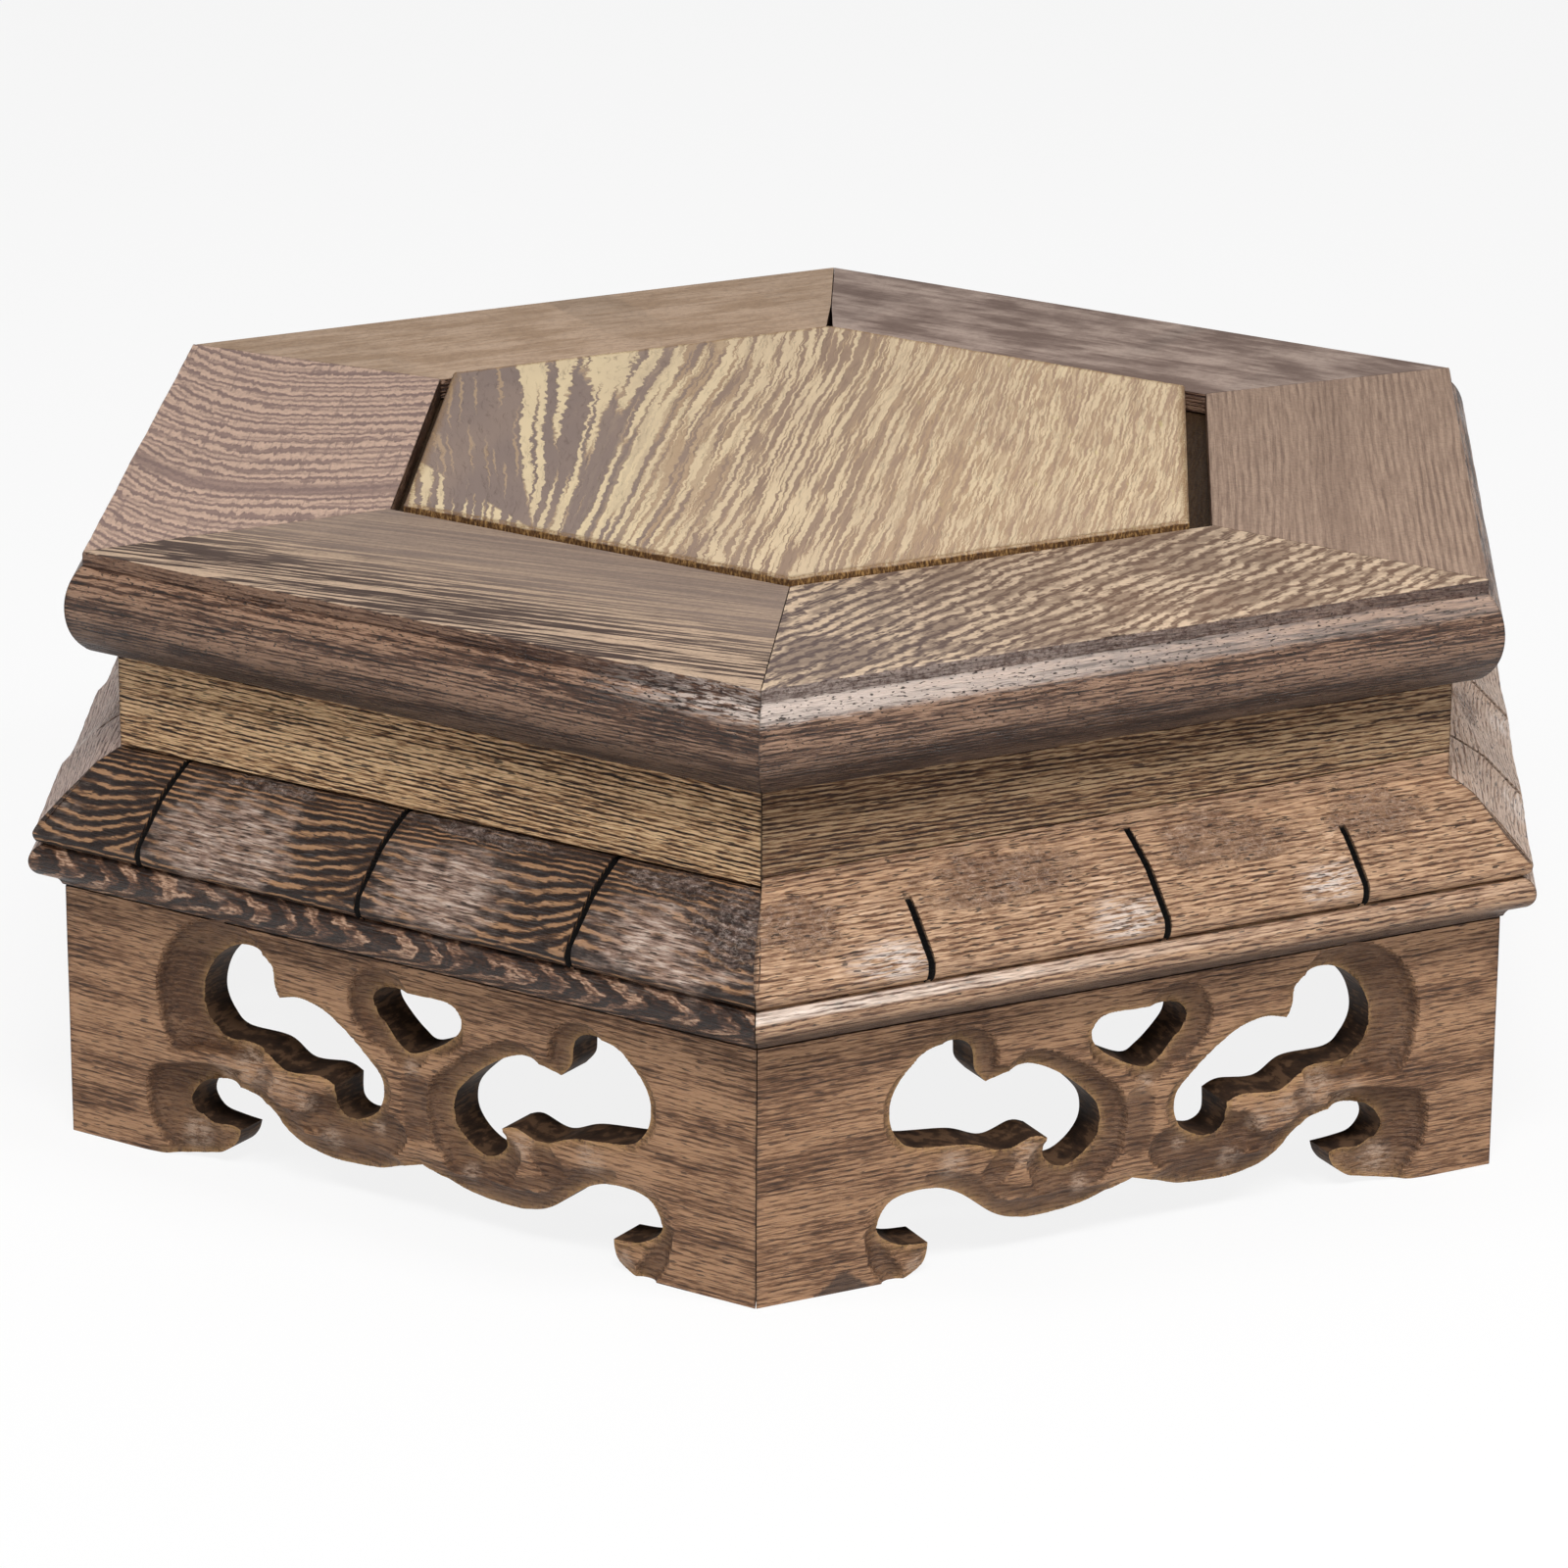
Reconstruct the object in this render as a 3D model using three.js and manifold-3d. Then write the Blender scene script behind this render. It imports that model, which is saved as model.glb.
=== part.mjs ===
// A low six-sided plant stand in striped wenge wood: a mitred top frame round a floating panel,
// a plain waist, a notched shoulder moulding and six aprons pierced with scrolls, which also
// make the feet.
// Lengths are millimetres. The feet stand at z = 0, the stand's axis is the z axis, one corner
// points along -Y (the front) and two of the flat sides face +X and -X.
//
// Each side of the stand is made in its own frame: x is the distance out from the axis, y runs
// along the side, to the right as seen from outside, and z is up. Turning that frame about z
// by the side's angle puts the piece in its place.

import * as THREE from 'three';
import { mergeVertices } from 'three/addons/utils/BufferGeometryUtils.js';
import Module from 'manifold-3d';

// Heights above the floor
const HEIGHT = 75;
const PANEL_PROUD = 0.8;
const RAIL_BOTTOM = 61.9;
const WAIST_TOP = 61.6;
const WAIST_BOTTOM = 49.6;
const SHOULDER_TOP = 49.3;
const SHOULDER_BOTTOM = 32.7;
const APRON_TOP = 32.4;

// Distances out from the axis to the flat sides
const TOP_EDGE = 85.3;
const RAIL_NOSE = 87.5;
const WAIST_OUTSIDE = 81.5;
const RING_INSIDE = 72.5;
const APRON_OUTSIDE = 88.3;
const APRON_THICKNESS = 6.4;

// The gap left for glue where two pieces meet, and how far cutters run past a face
const GLUE_GAP = 0.3;
const OVERRUN = 6;

// The sides meet every 60 degrees, and their ends are mitred at half of that
const SIDE_TURN = THREE.MathUtils.degToRad(60);
const HALF_TURN = SIDE_TURN / 2;
const MITRE_SLOPE = Math.tan(HALF_TURN);

// The bullnose on the top rail is half of an ellipse
const NOSE_HALF_WIDTH = 4.5;
const NOSE_HALF_HEIGHT = 6.1;
const NOSE_STEPS = 5;

// The groove in the top rails and the panel's tongue, which lies loose in it
const GROOVE_DEPTH = 7;
const TONGUE_BOTTOM = 68;
const TONGUE_TOP = 72;
const TONGUE_REACH = 6;
const PANEL_EDGE_GAP = 0.3;

// The panel is cut narrow: it leaves an open gap along its left and right edges
const PANEL_LEFT_EDGE = -48.1;
const PANEL_RIGHT_EDGE = 49.4;

// The thin splines hidden in the top rails' mitres
const SPLINE_LENGTH = 22;
const SPLINE_WIDTH = 14;
const SPLINE_THICKNESS = 2.4;
const SPLINE_BOTTOM = 63.9;
const SPLINE_FROM_CORNER = 20;

// The shoulder moulding's section, [distance out, height]: a slope, a rounded nose, a narrow
// quirk, a bead and a small cove
const SLOPE_TOP = [81.8, SHOULDER_TOP];
const SLOPE_PULL = [89.2, 45.2];
const NOSE_TOP = [91.4, 41.9];
const NOSE_PULL = [92.3, 40.2];
const NOSE_FOOT = [91.5, 38.9];
const QUIRK = [90.6, 38.4];
const BEAD_MIDDLE = [90.4, 36.3];
const BEAD_RADIUS = 2.1;
const COVE_PULL = [89.2, 34.2];
const COVE_FOOT = [88.6, SHOULDER_BOTTOM];
const BEAD_OUTSIDE = BEAD_MIDDLE[0] + BEAD_RADIUS;
const SECTION_STEPS = 3;

// The saw cuts across the slope: how wide they are, and the line that their floor follows
const NOTCH_WIDTH = 1;
const NOTCH_FLOOR_TOP = [81.7, 46.9];
const NOTCH_FLOOR_FOOT = [90.1, 38.7];

// The shallow scoops between the saw cuts. Each follows the line from the slope's top to the
// nose, raised a little because the slope bulges.
const SCOOP_DEPTH = 1.3;
const SCOOP_LIFT = 0.9;
const SCOOP_LENGTH = 18;
const SCOOP_STEPS = 6;
const SCOOP_FOOT = [91.6, 40.4];

// The end scoops run on past the corner, so that two of them make one petal round it
const PETAL_REACH = 12;

// The wood screws that hold shoulder, waist and top rail together, one in each side
const SCREW_OUT = 76.5;
const SCREW_LENGTH = 38;
const SCREW_RADIUS = 1.9;
const SCREW_HEAD_RADIUS = 3.3;
const SCREW_HEAD_HEIGHT = 2.6;
const SCREW_RIM = 0.3;
const SCREW_POINT = 7;
const SCREW_SLOT_WIDTH = 1;
const SCREW_SLOT_DEPTH = 1.1;
const SCREW_ROUND = 16;

// The glue blocks in the corners behind the aprons
const BLOCK_LEG = 11;
const BLOCK_BLUNT = 1;
const BLOCK_BOTTOM = 14;

// The six sides, going round from +X. inner is how far the rail's inside edge lies from the
// axis; the rails differ in width. slip is how far the carving sits off the side's middle, and
// mirrored sides carry it the other way round. notches are the places of the saw cuts.
const SIDES = [
  { name: 'right', inner: 52.2, mirrored: false, slip: 0.4, notches: [-30, 1, 31] },
  { name: 'back_right', inner: 55.1, mirrored: true, slip: -0.6, notches: [-32, -1, 30] },
  { name: 'back_left', inner: 54.2, mirrored: false, slip: 0.5, notches: [-31, 2, 32] },
  { name: 'left', inner: 49.8, mirrored: true, slip: -0.3, notches: [-29, 0, 30] },
  { name: 'front_left', inner: 49.2, mirrored: false, slip: 1.3, notches: [-36.6, -3.6, 26.9] },
  { name: 'front_right', inner: 50.6, mirrored: true, slip: 1.3, notches: [-30, 1.7, 29.2] },
];

// The corner after each side
const CORNERS = ['back_right', 'back', 'back_left', 'front_left', 'front', 'front_right'];

// The openings and the lower edge of an apron: points along smooth curves, [along the side,
// height above the floor]. A curve stops where the carving has a sharp cusp.
const SCROLL_SLOT = [
  [[-19.4, 24.3], [-16.4, 24.9], [-13, 24.2], [-10, 22.5], [-6.8, 20], [-4.5, 17.4], [-4, 15],
    [-4.9, 12.7], [-7, 11.2], [-9.4, 10.6], [-11.2, 11.7], [-11.3, 14.7]],
  [[-11.3, 14.7], [-13.5, 15.4], [-18.5, 15], [-22.3, 16.9], [-28.5, 17.1], [-30.7, 18.7],
    [-31.9, 21], [-31.8, 23.5], [-30.6, 26.2], [-28.2, 28.5], [-25.3, 29.7], [-22.3, 29.5],
    [-20.5, 28.1], [-20.1, 25.8], [-19.4, 24.3]],
];
const HEART = [
  [[21.6, 22.8], [17.3, 24.2], [14.4, 23.7], [11.3, 22], [8.6, 19.9], [6.4, 17.5], [5.8, 15.4],
    [6.2, 13.4], [7.8, 11.5], [10, 10.3], [12.2, 10.5], [13.7, 12.2], [13.5, 14.5]],
  [[13.5, 14.5], [15.5, 15], [19.5, 14], [24, 15.5], [31.3, 16.4], [33.6, 17.8], [34.7, 20.2],
    [34.5, 23], [33, 25.7], [30.3, 28.2], [27.3, 28.9], [24.8, 28.6], [23.4, 27], [23.1, 24.6],
    [21.6, 22.8]],
];
const BEAN = [
  [[1, 28.9], [5.7, 28.9], [7.5, 27.6], [7.6, 26.2], [6.5, 24.6], [4.2, 22.9], [0.3, 21.2],
    [-1.8, 22.1], [-4, 24], [-5.4, 25.8], [-5.4, 27.5], [-3.7, 28.8], [1, 28.9]],
];
const LOWER_EDGE = [
  [[33.5, 0], [31.2, 0.4], [29.8, 1.6], [29.3, 3.8]],
  [[29.3, 3.8], [33, 4.2], [35.6, 5.7], [36, 7.6], [34.9, 9.6], [32.4, 10.6], [28.5, 10.6],
    [24.8, 9.1], [20.5, 5.9], [17.5, 4.6], [13.7, 4.2], [8.5, 4.7], [4.3, 6.2], [1.35, 7]],
  [[1.35, 7], [-1.5, 6.2], [-5.5, 4.8], [-10.5, 4.4], [-14, 4.6], [-17.2, 5.6], [-20.5, 8],
    [-23.5, 10.2], [-27.5, 11.3], [-31.2, 10.8], [-33.4, 9.2], [-34, 7.3], [-32.6, 5.5],
    [-30, 5], [-27, 4.8]],
  [[-27, 4.8], [-27.5, 3.4], [-28.8, 2], [-31.2, 1], [-38, 0]],
];

// The carving's points lie close enough to be joined by straight lines here
const CARVING_STEPS = 1;

const RAIL_COLOURS = {
  right: 0x8a7462,
  back_right: 0x74655c,
  back_left: 0x97826f,
  left: 0x8d7263,
  front_left: 0x6a5749,
  front_right: 0x7d6552,
};
const PANEL_COLOUR = 0xa08a68;
const WAIST_COLOUR = 0x9a8060;
const SHOULDER_COLOUR = 0x5c4331;
const APRON_COLOUR = 0x77583f;
const BLOCK_COLOUR = 0x8b7350;
const SPLINE_COLOUR = 0x9c8462;
const BRASS_COLOUR = 0xb59a5a;

// Corners closer together than this are one corner
const SAME_CORNER = 1e-4;

const wasm = await Module();
wasm.setup();

// A closed geometry as a solid that can be joined and cut
function solidOf(geometry) {
  const bare = geometry.clone();
  bare.deleteAttribute('normal');
  bare.deleteAttribute('uv');
  const merged = mergeVertices(bare, SAME_CORNER);
  return new wasm.Manifold(new wasm.Mesh({
    numProp: 3,
    vertProperties: Float32Array.from(merged.attributes.position.array),
    triVerts: Uint32Array.from(merged.index.array),
  }));
}

function geometryOf(solid) {
  const mesh = solid.getMesh();
  const geometry = new THREE.BufferGeometry();
  geometry.setAttribute('position', new THREE.BufferAttribute(mesh.vertProperties, 3));
  geometry.setIndex(new THREE.BufferAttribute(mesh.triVerts, 1));
  geometry.computeVertexNormals();
  return geometry;
}

function cutAway(geometry, cutters) {
  let solid = solidOf(geometry);
  for (const cutter of cutters) {
    solid = solid.subtract(solidOf(cutter));
  }
  return geometryOf(solid);
}

function keepInside(geometry, keeper) {
  return geometryOf(solidOf(geometry).intersect(solidOf(keeper)));
}

function shapeOf(points) {
  return new THREE.Shape(points.map(([x, y]) => new THREE.Vector2(x, y)));
}

// A plan outline, in x and y, carried up from one height to another
function plate(outline, bottom, top) {
  const settings = { depth: top - bottom, bevelEnabled: false };
  return new THREE.ExtrudeGeometry(outline, settings).translate(0, 0, bottom);
}

// A section, in x and z, carried along the side, from y = -half to y = half
function moulding(section, half, curveSegments = 1) {
  const settings = { depth: 2 * half, bevelEnabled: false, curveSegments };
  const geometry = new THREE.ExtrudeGeometry(section, settings);
  const alongSide = new THREE.Matrix4().makeBasis(
    new THREE.Vector3(1, 0, 0),
    new THREE.Vector3(0, 0, 1),
    new THREE.Vector3(0, -1, 0),
  );
  return geometry.applyMatrix4(alongSide).translate(0, half, 0);
}

// A face outline, in y and z, carried outwards from one distance from the axis to another
function board(outline, inside, outside) {
  const settings = { depth: outside - inside, bevelEnabled: false, curveSegments: 1 };
  const geometry = new THREE.ExtrudeGeometry(outline, settings);
  const outwards = new THREE.Matrix4().makeBasis(
    new THREE.Vector3(0, 1, 0),
    new THREE.Vector3(0, 0, 1),
    new THREE.Vector3(1, 0, 0),
  );
  return geometry.applyMatrix4(outwards).translate(inside, 0, 0);
}

// The space between two mitre cuts. Each cut is a line y = slope * x + offset in plan.
function mitreWedge(near, far, lower, upper) {
  const at = (line, x, side) => {
    const half = 0.5 * GLUE_GAP * Math.hypot(1, line.slope);
    return line.slope * x + line.offset - side * half;
  };
  const outline = shapeOf([
    [near, at(lower, near, -1)],
    [far, at(lower, far, -1)],
    [far, at(upper, far, 1)],
    [near, at(upper, near, 1)],
  ]);
  return plate(outline, -OVERRUN, HEIGHT + OVERRUN);
}

// Cuts a piece's ends to mitres that run straight at the stand's axis
function mitred(geometry) {
  const lower = { slope: -MITRE_SLOPE, offset: 0 };
  const upper = { slope: MITRE_SLOPE, offset: 0 };
  const wedge = mitreWedge(RING_INSIDE - OVERRUN, BEAD_OUTSIDE + OVERRUN, lower, upper);
  return keepInside(geometry, wedge);
}

// How far along the side the inside edges of two neighbouring rails cross
function crossing(inner, neighbourInner) {
  return (neighbourInner - inner * Math.cos(SIDE_TURN)) / Math.sin(SIDE_TURN);
}

// The two mitre cuts of a top rail, from the outer corner to where the inside edges cross
function railMitres(index) {
  const { inner } = SIDES[index];
  const before = SIDES[(index + SIDES.length - 1) % SIDES.length];
  const after = SIDES[(index + 1) % SIDES.length];
  const corner = RAIL_NOSE * MITRE_SLOPE;
  const line = (side, y) => {
    const slope = side * (corner - y) / (RAIL_NOSE - inner);
    return { slope, offset: side * corner - slope * RAIL_NOSE };
  };
  return [line(-1, crossing(inner, before.inner)), line(1, crossing(inner, after.inner))];
}

function railSection(inner) {
  const grooveBottom = TONGUE_BOTTOM - GLUE_GAP;
  const grooveTop = TONGUE_TOP + GLUE_GAP;
  const noseCentre = RAIL_NOSE - NOSE_HALF_WIDTH;
  const noseMiddle = RAIL_BOTTOM + NOSE_HALF_HEIGHT;
  const start = Math.acos((TOP_EDGE - noseCentre) / NOSE_HALF_WIDTH);
  const section = new THREE.Shape();
  section.moveTo(inner, RAIL_BOTTOM);
  section.lineTo(inner, grooveBottom);
  section.lineTo(inner + GROOVE_DEPTH, grooveBottom);
  section.lineTo(inner + GROOVE_DEPTH, grooveTop);
  section.lineTo(inner, grooveTop);
  section.lineTo(inner, HEIGHT);
  section.lineTo(TOP_EDGE, HEIGHT);
  section.absellipse(
    noseCentre, noseMiddle, NOSE_HALF_WIDTH, NOSE_HALF_HEIGHT, start, -Math.PI / 2, true,
  );
  return section;
}

// A spline, or with ease the slot that it lies in. Its middle is measured inwards along the
// mitre from the frame's outer corner.
function splineShape(mitre, ease) {
  const along = Math.atan(mitre.slope);
  const x = RAIL_NOSE - SPLINE_FROM_CORNER * Math.cos(along);
  const y = mitre.slope * x + mitre.offset;
  const geometry = new THREE.BoxGeometry(
    SPLINE_LENGTH + 2 * ease,
    SPLINE_WIDTH + 2 * ease,
    SPLINE_THICKNESS + 2 * ease,
  );
  return geometry.rotateZ(along).translate(x, y, SPLINE_BOTTOM + SPLINE_THICKNESS / 2);
}

// A wood screw's outline from its axis, countersunk head down and point up, or with ease the
// hole that it lies in, which is open below
function screwProfile(ease) {
  const headRadius = SCREW_HEAD_RADIUS + ease;
  const radius = SCREW_RADIUS + ease;
  const bottom = SHOULDER_BOTTOM - (ease > 0 ? OVERRUN : 0);
  const rim = SHOULDER_BOTTOM + SCREW_RIM + 2 * ease;
  const neck = SHOULDER_BOTTOM + SCREW_HEAD_HEIGHT + ease;
  const tip = SHOULDER_BOTTOM + SCREW_LENGTH + ease;
  return [
    new THREE.Vector2(0, bottom),
    new THREE.Vector2(headRadius, bottom),
    new THREE.Vector2(headRadius, rim),
    new THREE.Vector2(radius, neck),
    new THREE.Vector2(radius, tip - SCREW_POINT),
    new THREE.Vector2(0, tip),
  ];
}

function screwShape(ease) {
  const geometry = new THREE.LatheGeometry(screwProfile(ease), SCREW_ROUND);
  return geometry.rotateX(Math.PI / 2).translate(SCREW_OUT, 0, 0);
}

function topRail(index) {
  const { inner } = SIDES[index];
  const mitres = railMitres(index);
  const bar = moulding(railSection(inner), RAIL_NOSE, NOSE_STEPS);
  const wedge = mitreWedge(inner - OVERRUN, RAIL_NOSE + OVERRUN, ...mitres);
  const slots = mitres.map((mitre) => splineShape(mitre, GLUE_GAP));
  return cutAway(keepInside(bar, wedge), [...slots, screwShape(GLUE_GAP)]);
}

// The panel's plan, from its six straight edges. An edge is its distance from the axis and the
// direction that it faces.
function panelOutline(reach) {
  const looseEdges = { right: PANEL_RIGHT_EDGE, left: -PANEL_LEFT_EDGE };
  const edges = SIDES.map(({ name, inner }, index) => ({
    distance: (looseEdges[name] ?? inner - PANEL_EDGE_GAP) + reach,
    angle: index * SIDE_TURN,
  }));
  return shapeOf(edges.map((edge, index) => {
    const next = edges[(index + 1) % edges.length];
    const along = crossing(edge.distance, next.distance);
    return [
      edge.distance * Math.cos(edge.angle) - along * Math.sin(edge.angle),
      edge.distance * Math.sin(edge.angle) + along * Math.cos(edge.angle),
    ];
  }));
}

function panel() {
  const field = plate(panelOutline(0), TONGUE_BOTTOM, HEIGHT + PANEL_PROUD);
  const tongue = plate(panelOutline(TONGUE_REACH), TONGUE_BOTTOM, TONGUE_TOP);
  return geometryOf(solidOf(field).add(solidOf(tongue)));
}

function waistBoard() {
  const section = shapeOf([
    [RING_INSIDE, WAIST_BOTTOM],
    [RING_INSIDE, WAIST_TOP],
    [WAIST_OUTSIDE, WAIST_TOP],
    [WAIST_OUTSIDE, WAIST_BOTTOM],
  ]);
  return cutAway(mitred(moulding(section, BEAD_OUTSIDE)), [screwShape(GLUE_GAP)]);
}

function shoulderSection() {
  const section = new THREE.Shape();
  section.moveTo(RING_INSIDE, SHOULDER_BOTTOM);
  section.lineTo(RING_INSIDE, SHOULDER_TOP);
  section.lineTo(...SLOPE_TOP);
  section.quadraticCurveTo(...SLOPE_PULL, ...NOSE_TOP);
  section.quadraticCurveTo(...NOSE_PULL, ...NOSE_FOOT);
  section.lineTo(...QUIRK);
  section.absarc(...BEAD_MIDDLE, BEAD_RADIUS, Math.PI / 2, -Math.PI / 3, true);
  section.quadraticCurveTo(...COVE_PULL, ...COVE_FOOT);
  return section;
}

// One saw cut across the slope and the nose, open at the waist's foot and at the quirk
function notchCutter(place) {
  const outside = BEAD_OUTSIDE + OVERRUN;
  const above = SHOULDER_TOP + OVERRUN;
  const outline = shapeOf([
    NOTCH_FLOOR_TOP,
    NOTCH_FLOOR_FOOT,
    [outside, NOTCH_FLOOR_FOOT[1]],
    [outside, above],
    [NOTCH_FLOOR_TOP[0], above],
  ]);
  return moulding(outline, NOTCH_WIDTH / 2).translate(0, place, 0);
}

// A shallow hollow between two places along the side: a flat arc, carried down the slope
function scoopCutter(from, to) {
  const half = (to - from) / 2;
  const points = [[half, OVERRUN], [-half, OVERRUN]];
  for (let i = 0; i <= SCOOP_STEPS; i++) {
    const t = -1 + (2 * i) / SCOOP_STEPS;
    points.push([half * t, -SCOOP_DEPTH * (1 - t * t)]);
  }
  const settings = { depth: SCOOP_LENGTH, bevelEnabled: false };
  const geometry = new THREE.ExtrudeGeometry(shapeOf(points), settings);
  const start = new THREE.Vector3(SLOPE_TOP[0], (from + to) / 2, SLOPE_TOP[1]);
  const foot = new THREE.Vector3(SCOOP_FOOT[0], start.y, SCOOP_FOOT[1]);
  const down = foot.sub(start).normalize();
  const along = new THREE.Vector3(0, 1, 0);
  const out = new THREE.Vector3().crossVectors(down, along);
  start.addScaledVector(out, SCOOP_LIFT);
  geometry.applyMatrix4(new THREE.Matrix4().makeBasis(along, out, down));
  return geometry.translate(start.x, start.y, start.z);
}

function shoulder(notches) {
  const reach = BEAD_OUTSIDE * MITRE_SLOPE + PETAL_REACH;
  const edges = [-reach, ...notches, reach];
  const scoops = edges.slice(1).map((edge, i) => scoopCutter(edges[i], edge));
  const bar = mitred(moulding(shoulderSection(), BEAD_OUTSIDE, SECTION_STEPS));
  return cutAway(bar, [...scoops, ...notches.map(notchCutter), screwShape(GLUE_GAP)]);
}

// Puts a curve of the carving on a side: turned over where the side is mirrored, then slipped
function placed(curve, side) {
  const flip = side.mirrored ? -1 : 1;
  return curve.map(([y, z]) => new THREE.Vector2(flip * y + side.slip, z));
}

// A path's points, turned so that outlines run anticlockwise and openings run clockwise
function pointsOf(path, clockwise) {
  const points = path.getPoints(CARVING_STEPS);
  return THREE.ShapeUtils.isClockWise(points) === clockwise ? points : points.reverse();
}

function opening(curves, side) {
  const path = new THREE.Path();
  const [start] = placed(curves[0], side);
  path.moveTo(start.x, start.y);
  for (const curve of curves) {
    path.splineThru(placed(curve, side).slice(1));
  }
  return new THREE.Path(pointsOf(path, true));
}

function apronOutline(side) {
  const end = (side.mirrored ? -1 : 1) * (APRON_OUTSIDE * MITRE_SLOPE + OVERRUN);
  const outline = new THREE.Path();
  outline.moveTo(-end, APRON_TOP);
  outline.lineTo(end, APRON_TOP);
  outline.lineTo(end, 0);
  const [toe] = placed(LOWER_EDGE[0], side);
  outline.lineTo(toe.x, toe.y);
  for (const curve of LOWER_EDGE) {
    outline.splineThru(placed(curve, side).slice(1));
  }
  outline.lineTo(-end, 0);
  outline.lineTo(-end, APRON_TOP);
  const shape = new THREE.Shape(pointsOf(outline, false));
  shape.holes = [SCROLL_SLOT, HEART, BEAN].map((curves) => opening(curves, side));
  return shape;
}

function apron(side) {
  return mitred(board(apronOutline(side), APRON_OUTSIDE - APRON_THICKNESS, APRON_OUTSIDE));
}

// A glue block, its plan drawn in the corner's own frame: x runs out to the corner
function glueBlock() {
  const inside = APRON_OUTSIDE - APRON_THICKNESS - GLUE_GAP;
  const apex = inside / Math.cos(HALF_TURN);
  const back = Math.sin(HALF_TURN);
  const across = Math.cos(HALF_TURN);
  const outline = shapeOf([
    [apex - BLOCK_BLUNT * back, BLOCK_BLUNT * across],
    [apex - BLOCK_LEG * back, BLOCK_LEG * across],
    [apex - BLOCK_LEG * back, -BLOCK_LEG * across],
    [apex - BLOCK_BLUNT * back, -BLOCK_BLUNT * across],
  ]);
  return plate(outline, BLOCK_BOTTOM, APRON_TOP);
}

function woodScrew() {
  const slotLength = 2 * (SCREW_HEAD_RADIUS + OVERRUN);
  const slot = new THREE.BoxGeometry(slotLength, SCREW_SLOT_WIDTH, 2 * SCREW_SLOT_DEPTH);
  return cutAway(screwShape(0), [slot.translate(SCREW_OUT, 0, SHOULDER_BOTTOM)]);
}

function wood(color) {
  return new THREE.MeshStandardMaterial({ color, roughness: 0.55, metalness: 0 });
}

function brass() {
  return new THREE.MeshStandardMaterial({ color: BRASS_COLOUR, roughness: 0.4, metalness: 1 });
}

function piece(name, geometry, material) {
  const mesh = new THREE.Mesh(geometry, material);
  mesh.name = name;
  return mesh;
}

function sideGroup(side, index) {
  const group = new THREE.Group();
  const { name } = side;
  group.rotation.z = index * SIDE_TURN;
  group.add(piece(`top_rail_${name}`, topRail(index), wood(RAIL_COLOURS[name])));
  group.add(piece(`waist_board_${name}`, waistBoard(), wood(WAIST_COLOUR)));
  group.add(piece(`shoulder_moulding_${name}`, shoulder(side.notches), wood(SHOULDER_COLOUR)));
  group.add(piece(`apron_${name}`, apron(side), wood(APRON_COLOUR)));
  group.add(piece(`wood_screw_${name}`, woodScrew(), brass()));
  return group;
}

function cornerGroup(corner, index) {
  const group = new THREE.Group();
  const spline = splineShape(railMitres(index)[1], 0);
  const block = piece(`glue_block_${corner}`, glueBlock(), wood(BLOCK_COLOUR));
  block.rotation.z = HALF_TURN;
  group.rotation.z = index * SIDE_TURN;
  group.add(piece(`mitre_spline_${corner}`, spline, wood(SPLINE_COLOUR)));
  group.add(block);
  return group;
}

const stand = new THREE.Group();
stand.name = 'plant_stand';
stand.add(piece('top_panel', panel(), wood(PANEL_COLOUR)));
SIDES.forEach((side, index) => stand.add(sideGroup(side, index)));
CORNERS.forEach((corner, index) => stand.add(cornerGroup(corner, index)));

export default stand;
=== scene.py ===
# %% [markdown]
# # A six-sided plant stand in wenge wood
#
# The real object is a low stand for a bonsai or a stone. A mitred frame of six rails holds a
# loose striped panel. Under it come a plain waist, a moulding with saw cuts and shallow scoops,
# and six pierced and carved boards whose corners make the feet.
#
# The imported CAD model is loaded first. It fixes every size and place. The pieces that the eye
# meets are made again here with finer detail, each in the place of its CAD node, and the hidden
# splines, screws and glue blocks stay as they are and get a better finish.

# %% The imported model
import math

import bmesh
import bpy
import numpy as np
from mathutils import Matrix, Vector, noise


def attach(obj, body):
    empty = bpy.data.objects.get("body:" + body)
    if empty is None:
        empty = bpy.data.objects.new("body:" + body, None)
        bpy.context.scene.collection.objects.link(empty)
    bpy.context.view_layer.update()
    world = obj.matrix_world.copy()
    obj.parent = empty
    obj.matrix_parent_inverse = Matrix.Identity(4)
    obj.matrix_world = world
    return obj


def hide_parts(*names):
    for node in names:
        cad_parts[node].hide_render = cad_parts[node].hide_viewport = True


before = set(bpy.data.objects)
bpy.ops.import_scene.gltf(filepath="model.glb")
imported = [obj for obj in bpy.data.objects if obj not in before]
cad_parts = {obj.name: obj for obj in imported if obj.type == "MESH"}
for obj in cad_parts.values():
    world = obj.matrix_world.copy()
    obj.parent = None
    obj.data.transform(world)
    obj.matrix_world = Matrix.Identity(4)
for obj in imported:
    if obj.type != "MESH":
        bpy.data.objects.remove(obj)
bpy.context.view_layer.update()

# %% [markdown]
# ## The camera
#
# The camera stands 0.8 m in front of the stand and 0.3 m up, and looks down at it by 19
# degrees through a long lens. A camera looks along its own -Z, so its turn is built from the
# direction in which it looks, the direction to its right and the direction up.

# %% The camera
CAMERA_PLACE = Vector((0.0363, -0.7989, 0.3012))
CAMERA_LENS = 148.65
CAMERA_TILT = math.radians(-18.705)
CAMERA_PAN = math.radians(-2.740)
CAMERA_ROLL = math.radians(0.348)


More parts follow.
